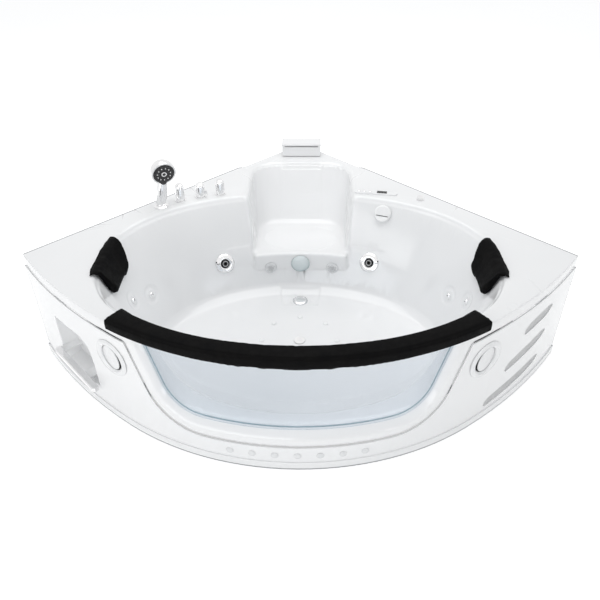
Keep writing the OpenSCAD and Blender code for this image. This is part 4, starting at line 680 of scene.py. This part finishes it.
def shell_details(co):
    x, y, z = co.T.copy()
    d = MIDDLE_D - y
    f, n, deep = basin_share(x, y, z)
    r = f ** (1 / n)
    reach = np.sqrt(x * x + (y - wy(BASIN_D)) ** 2)
    off = (r - 1) * reach / np.maximum(r, 1e-6)
    out_x, out_y = x / np.maximum(reach, 1), (y - wy(BASIN_D)) / np.maximum(reach, 1)
    # ledge along the back wall beside the seat
    near = (np.abs(off) < 9) & (y > wy(BASIN_D) + 120)
    along = step(np.abs(x), 214, 232) * (1 - step(np.abs(x), 300, 392))
    push = np.where(near, 5.0 * along * (1 - step(z, 276, 284)) * step(z, 190, 240), 0)
    x, y = x - out_x * push, y - out_y * push
    # the deck is lower round the spout, behind a curved edge on each side
    edge_x = np.interp(d, [333, 352, 375, 400, 423], [291, 286, 268, 242, 228])
    inner = 1 - step(np.abs(x), edge_x - 8, edge_x + 8)
    high = (z > RIM_H - 14) & (d < 430)
    z = np.where(high, z - 3.5 * inner * (1 - step(d, 415, 430)), z)
    # water channel down the backrest, and a dished seat
    rest = (np.abs(x) < 130) & (d > 176) & (d < 470) & (z > 262)
    lane = 1 - step(np.abs(x), 90, 98)
    y = np.where(rest & (z < RIM_H - 8), y + 2.5 * lane, y)
    z = np.where((np.abs(x) < 130) & (d > 176) & (d < 262) & (z >= RIM_H - 30), z - 2.5 * lane, z)
    bowl = 1 - np.clip(((x / 165) ** 2) + (((d - 560) / 112) ** 2), 0, 1)
    z = np.where((z > 236) & (z < 262) & (d > 430) & (d < 690), z - 9 * bowl**0.7, z)
    # a shallow trapezoid round the drain
    half = np.interp(d, [735, 840], [92, 78])
    low = (1 - step(np.abs(x), half - 4, half + 4)) * step(d, 728, 742) * (1 - step(d, 836, 848))
    near_drain = np.sqrt(x * x + (d - DRAIN_D) ** 2)
    z = np.where(z < FLOOR_Z + 22, z - 3.0 * low * step(near_drain, 38, 46), z)
    # each small jet sits in a shallow round dish
    for a, b in SIDE_JETS:
        p, nrm = np.array(wall_p(a, b)), np.array(wall_n(a, b))
        v = np.stack([x, y, z], 1) - p
        along_n = v @ nrm
        flat = np.sqrt(np.maximum((v * v).sum(1) - along_n**2, 0))
        sink = (1 - step(flat, 34, 44)) * step(flat, 19, 27) * (np.abs(along_n) < 14) * 2.2
        x, y, z = x - nrm[0] * sink, y - nrm[1] * sink, z - nrm[2] * sink
    return np.stack([x, y, z], 1)


shell, shell_mesh, shell_co, shell_edges = make_shell()
shell_co = shell_details(shell_co)
shell_co = relax(shell_co, shell_edges, np.full(len(shell_co), 0.3), 1)
set_coords(shell_mesh, shell_co * MM)
thin = shell.modifiers.new("thin", "DECIMATE")
thin.ratio = 0.16
final = evaluated(shell)
drop(shell)
shell = link_mesh("bath_shell", final, "acrylic", "bath")
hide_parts("tub_shell")


# ---------------------------------------------------------------- cushion and pillows
def point_normals(mesh):
    n = np.empty(len(mesh.vertices) * 3)
    mesh.vertex_normals.foreach_get("vector", n)
    return n.reshape(-1, 3)


def swollen(node_name, shrink, cap):
    """The node's form, a little smaller, swollen by a short cloth run and capped."""
    obj = welded_copy(node_name)
    voxel(obj, 0.005)
    start = coords(obj.data)
    normals = point_normals(obj.data)
    small = start - normals * shrink * MM
    set_coords(obj.data, small)
    mod = obj.modifiers.new("cloth", "CLOTH")
    mod.settings.quality = 5
    mod.settings.mass = 0.3
    mod.settings.use_pressure = True
    mod.settings.uniform_pressure_force = 4.0
    mod.settings.effector_weights.gravity = 0.0
    mod.collision_settings.use_collision = False
    mod.point_cache.frame_start, mod.point_cache.frame_end = 1, 20
    for f in range(1, 21):
        bpy.context.scene.frame_set(f)
    mesh = evaluated(obj)
    grown = coords(mesh)
    obj.modifiers.clear()
    bpy.data.meshes.remove(mesh)
    bpy.context.scene.frame_set(1)
    moved = grown - small
    length = np.sqrt((moved**2).sum(1))
    moved *= (np.minimum(length, cap * MM) / np.maximum(length, 1e-9))[:, None]
    return obj, (small + moved) / MM


def finish_pad(name, obj, co, hold, seam, node_name, body):
    """Smooths, clears the neighbours, subdivides once, sews the seams and adds the piece."""
    edges = edge_list(obj.data)
    for _ in range(2):
        co = hold(relax(co, edges, np.full(len(co), 0.5), 1))
    set_coords(obj.data, co * MM)
    mod = obj.modifiers.new("fine", "SUBSURF")
    mod.levels = mod.render_levels = 1
    mesh = evaluated(obj)
    drop(obj)
    co = coords(mesh) / MM
    depth = seam(co, point_normals(mesh))
    co = hold(co - point_normals(mesh) * depth[:, None])
    set_coords(mesh, co * MM)
    piece = link_mesh(name, mesh, "foam", body)
    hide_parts(node_name)
    return piece


def hold_cushion(co):
    """Keeps the cushion on the deck and clear of the skirt below it."""
    x, y, z = co.T.copy()
    dx, dy = x, y - wy(FRONT_C)
    far = np.hypot(dx, dy)
    limit = FRONT_R - SKIRT_PROUD + 0.9
    lift, out = RIM_H + 0.6 - z, limit - far
    up = (lift > 0) & (out > 0) & (lift <= out)
    away = (lift > 0) & (out > 0) & (lift > out)
    z = np.where(up, RIM_H + 0.6, z)
    k = np.where(away, limit / far, 1)
    return np.stack([dx * k, wy(FRONT_C) + dy * k, z], 1)


def cushion_seams(co, normals):
    x, y, z = co.T
    r = np.hypot(x, y - wy(CUSHION_C)) - CUSHION_R
    turned = np.abs(np.degrees(np.arctan2(x, wy(CUSHION_C) - y)))
    end = (CUSHION_HALF * 1.02 - turned) * radians(1) * (CUSHION_R + CUSHION_DEEP / 2)
    depth = np.zeros(len(co))
    for line in (r - 12, r - (CUSHION_DEEP - 12), end - 14):
        depth = np.maximum(depth, 1.7 * np.exp(-((line / 2.4) ** 2)))
    inside = (r > 8) & (r < CUSHION_DEEP - 8) & (end > 10)
    return np.where(inside & (normals[:, 2] > 0.25), depth, 0)


def hold_pillow(co):
    """Keeps a pillow off the wall, the rim's arc and the deck."""
    x, y, z = co.T.copy()
    mid = wy(BASIN_D)
    f, n, _ = basin_share(x, y, z)
    r = np.maximum(f ** (1 / n), 1e-6)
    reach = np.hypot(x, y - mid)
    off = (r - 1) * reach / r
    low = z <= RIM_H - RIM_ROUND
    k = np.where(low & (off > -1.4), (1 - 1.4 / reach) / r, 1)
    x, y = x * k, (y - mid) * k + mid
    g, deep = growth(x, y)
    rise = z - (RIM_H - RIM_ROUND)
    rho = np.maximum(np.hypot(RIM_ROUND - g, rise), 1e-6)
    arc = (~low) & (g < RIM_ROUND) & (rho < RIM_ROUND + 1.6)
    size = np.where(arc, (RIM_ROUND + 1.6) / rho, 1)
    g1 = np.where(arc, RIM_ROUND - (RIM_ROUND - g) * size, g)
    x = x * (BASIN_HALF + g1) / (BASIN_HALF + g)
    y = (y - mid) * (deep + g1) / (deep + g) + mid
    z = np.where(arc, RIM_H - RIM_ROUND + rise * size, z)
    return np.stack([x, y, np.where((g >= RIM_ROUND) & (z < RIM_H + 1.0), RIM_H + 1.0, z)], 1)


def pillow_seams(co, normals):
    x, y, z = co.T
    out = np.stack([x, y - wy(BASIN_D), np.zeros(len(x))], 1)
    out /= np.linalg.norm(out, axis=1)[:, None]
    face = -out * 0.9 + np.array([0, 0, 0.44])
    edge = np.abs((normals * face).sum(1))
    return 1.5 * (1 - np.clip(edge / 0.22, 0, 1) ** 2)


pad, pad_co = swollen("front_cushion", 3.5, 7.0)
pad_co[:, 2] += np.clip((pad_co[:, 2] - RIM_H - 2) / 16, 0, 1) * 10
from_mid = np.arctan2(pad_co[:, 0], wy(CUSHION_C) - pad_co[:, 1])
far = np.hypot(pad_co[:, 0], wy(CUSHION_C) - pad_co[:, 1])
pad_co[:, 0] = far * np.sin(from_mid * 1.02)
pad_co[:, 1] = wy(CUSHION_C) - far * np.cos(from_mid * 1.02)
finish_pad("front_cushion_pad", pad, pad_co, hold_cushion, cushion_seams, "front_cushion", "bath")
for side in ("left", "right"):
    pad, pad_co = swollen("pillow_" + side, 3.5, 7.0)
    finish_pad(
        f"head_cushion_{side}",
        pad,
        pad_co,
        hold_pillow,
        pillow_seams,
        "pillow_" + side,
        "headrest_" + side,
    )


# ---------------------------------------------------------------- small fittings
def joined(name, meshes):
    bm = bmesh.new()
    for mesh in meshes:
        bm.from_mesh(mesh)
        bpy.data.meshes.remove(mesh)
    whole = bpy.data.meshes.new(name)
    bm.to_mesh(whole)
    bm.free()
    return whole


def turned(name, profile, place, radius=0.8, steps=72):
    """A turned form's mesh: profile (r, z) in millimetres round the local z of place."""
    rows = []
    for r, z in fillet(profile, radius):
        angles = [2 * pi * i / steps for i in range(steps)]
        rows.append([(place @ Vector((r * cos(a), r * sin(a), z))) * MM for a in angles])
    return grid_mesh(name, rows)


for side, place in BIG_JETS:
    ball = on_wall(*place) @ Matrix.Translation((0, 0, BALL_Z))
    rim = [(9.7, 12.5), (9.7, 15.7), (12.0, 15.7), (12.9, 14.4), (12.9, 12.5)]
    link_mesh(
        f"jet_eye_{side}",
        turned(f"jet_eye_{side}", rim, ball, 0.3),
        "grey_plastic",
        f"ball_{side}",
    )

# a thin dark strip across the overflow knob beside its slot: painted shade in the groove
slot_x = OVERFLOW_R * 0.2
groove = on_wall(*OVERFLOW)
rows = []
for z, w in ((14.55, 1.6), (14.9, 1.6), (15.1, 1.3)):
    row = []
    for i in range(24):
        t = 2 * pi * i / 24
        across, along = cos(t) * w, root(sin(t), 6.0) * OVERFLOW_R * 0.74
        row.append((groove @ Vector((slot_x + 2.5 + across, along, z))) * MM)
    rows.append(row)
groove_shade_mesh = grid_mesh("overflow_groove_shade", rows, True, False, True)
link_mesh("overflow_groove_shade", groove_shade_mesh, "dark_plastic", "overflow_turn")

covers, gaps = [], []
for side in (-1, 1):
    seat = on_front(side * SPEAKER_S, SPEAKER_Z)
    tilt = seat @ Matrix.Translation((side * 2.6, 0, -3)) @ turn("Y", side * 8)
    covers.append(
        turned(
            "cover",
            [(0, 0), (47.5, 0), (47.5, 3.6), (43, 5.2), (20, 6.0), (18.5, 5.4), (17, 6.0), (0, 6.4)],
            tilt,
        )
    )
    # a black ring sunk behind each tilted cover: painted shade in the crescent gap round the cover
    gaps.append(turned("gap", [(38, -11), (50.6, -11), (50.6, -9.6), (38, -9.6), (38, -11)], seat, 0.2))
cover = link_mesh("speaker_faces", joined("speaker_faces", covers), "white_plastic", "bath")
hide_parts("speaker_covers")
link_mesh("speaker_gap_shade", joined("speaker_gap_shade", gaps), "black_plastic", "bath")

# ---------------------------------------------------------------- camera, light and floor
YAW, PITCH, ROLL = 0.013855, 0.646135, -0.0044564
right = Vector((cos(YAW), sin(YAW), 0))
ahead = Vector((-sin(YAW) * cos(PITCH), cos(YAW) * cos(PITCH), -sin(PITCH)))
above = right.cross(ahead)
cam_x = right * cos(ROLL) + above * sin(ROLL)
cam_y = above * cos(ROLL) - right * sin(ROLL)
cam = bpy.data.objects.new("camera", bpy.data.cameras.new("camera"))
bpy.context.scene.collection.objects.link(cam)
cam.matrix_world = Matrix(
    (
        (cam_x.x, cam_y.x, -ahead.x, 0.03062),
        (cam_x.y, cam_y.y, -ahead.y, -2.24715),
        (cam_x.z, cam_y.z, -ahead.z, 1.80142),
        (0, 0, 0, 1),
    )
)
cam.data.sensor_width = 36
cam.data.lens = 36 * 637.006 / 600
cam.data.clip_start, cam.data.clip_end = 0.05, 50
bpy.context.scene.camera = cam
bpy.context.scene.view_settings.view_transform = "Standard"

world = bpy.data.worlds.new("studio")
bpy.context.scene.world = world
world.use_nodes = True
nt = world.node_tree
nt.nodes.clear()


def seen_directly(nt):
    """1 for what the camera sees straight, in a mirror or through glass."""
    path = nt.nodes.new("ShaderNodeLightPath")
    one = nt.nodes.new("ShaderNodeMath")
    one.operation = "MAXIMUM"
    two = nt.nodes.new("ShaderNodeMath")
    two.operation = "MAXIMUM"
    nt.links.new(path.outputs["Is Camera Ray"], one.inputs[0])
    nt.links.new(path.outputs["Is Glossy Ray"], one.inputs[1])
    nt.links.new(one.outputs[0], two.inputs[0])
    nt.links.new(path.outputs["Is Transmission Ray"], two.inputs[1])
    return two.outputs[0]


WORLD_LIGHT = 0.54
w_out = nt.nodes.new("ShaderNodeOutputWorld")
soft_bg, white_bg = nt.nodes.new("ShaderNodeBackground"), nt.nodes.new("ShaderNodeBackground")
soft_bg.inputs["Color"].default_value = (0.97, 0.985, 1.0, 1)
soft_bg.inputs["Strength"].default_value = WORLD_LIGHT
white_bg.inputs["Color"].default_value = (1, 1, 1, 1)
white_bg.inputs["Strength"].default_value = 1.0
w_mix = nt.nodes.new("ShaderNodeMixShader")
nt.links.new(seen_directly(nt), w_mix.inputs["Fac"])
nt.links.new(soft_bg.outputs[0], w_mix.inputs[1])
nt.links.new(white_bg.outputs[0], w_mix.inputs[2])
nt.links.new(w_mix.outputs[0], w_out.inputs["Surface"])


def area(name, place, target, size, power, tone=(1, 1, 1)):
    lamp = bpy.data.lights.new(name, "AREA")
    lamp.shape, lamp.size, lamp.size_y = "RECTANGLE", size[0], size[1]
    lamp.energy, lamp.color = power, tone
    obj = bpy.data.objects.new(name, lamp)
    bpy.context.scene.collection.objects.link(obj)
    obj.location = place
    obj.rotation_mode = "QUATERNION"
    obj.rotation_quaternion = (Vector(target) - Vector(place)).to_track_quat("-Z", "Y")
    return obj


area("top_light", (0.0, 0.5, 3.2), (0, 0.0, 0.3), (3.0, 2.4), 46)
area("front_left_light", (-1.6, -3.1, 0.8), (-0.2, -0.6, 0.25), (3.2, 1.5), 32)
area("front_right_light", (2.7, -2.7, 0.55), (0.3, -0.4, 0.25), (1.8, 1.0), 15)

floor_mat, nt, out = new_material("studio_floor")
tone = ramp(nt, noise(nt, 0.8, 2), 0.3, 0.7, (0.86, 0.86, 0.86), (0.88, 0.88, 0.88))
matt = node(nt, "ShaderNodeBsdfDiffuse", Roughness=0.6)
nt.links.new(tone, matt.inputs["Color"])
lift = node(nt, "ShaderNodeEmission", Color=(1, 1, 1, 1))
gain = node(nt, "ShaderNodeMath", operation="MULTIPLY")
gain.inputs[1].default_value = 0.5
nt.links.new(seen_directly(nt), gain.inputs[0])
nt.links.new(gain.outputs[0], lift.inputs["Strength"])
both = node(nt, "ShaderNodeAddShader")
nt.links.new(matt.outputs[0], both.inputs[0])
nt.links.new(lift.outputs[0], both.inputs[1])
nt.links.new(both.outputs[0], out.inputs["Surface"])
floor_mesh = bpy.data.meshes.new("studio_floor")
floor_mesh.from_pydata([(-14, -14, 0), (14, -14, 0), (14, 14, 0), (-14, 14, 0)], [], [(0, 1, 2, 3)])
floor = bpy.data.objects.new("studio_floor", floor_mesh)
floor_mesh.materials.append(floor_mat)
bpy.context.scene.collection.objects.link(floor)

# ---------------------------------------------------------------- last update of the view layer
bpy.context.view_layer.update()
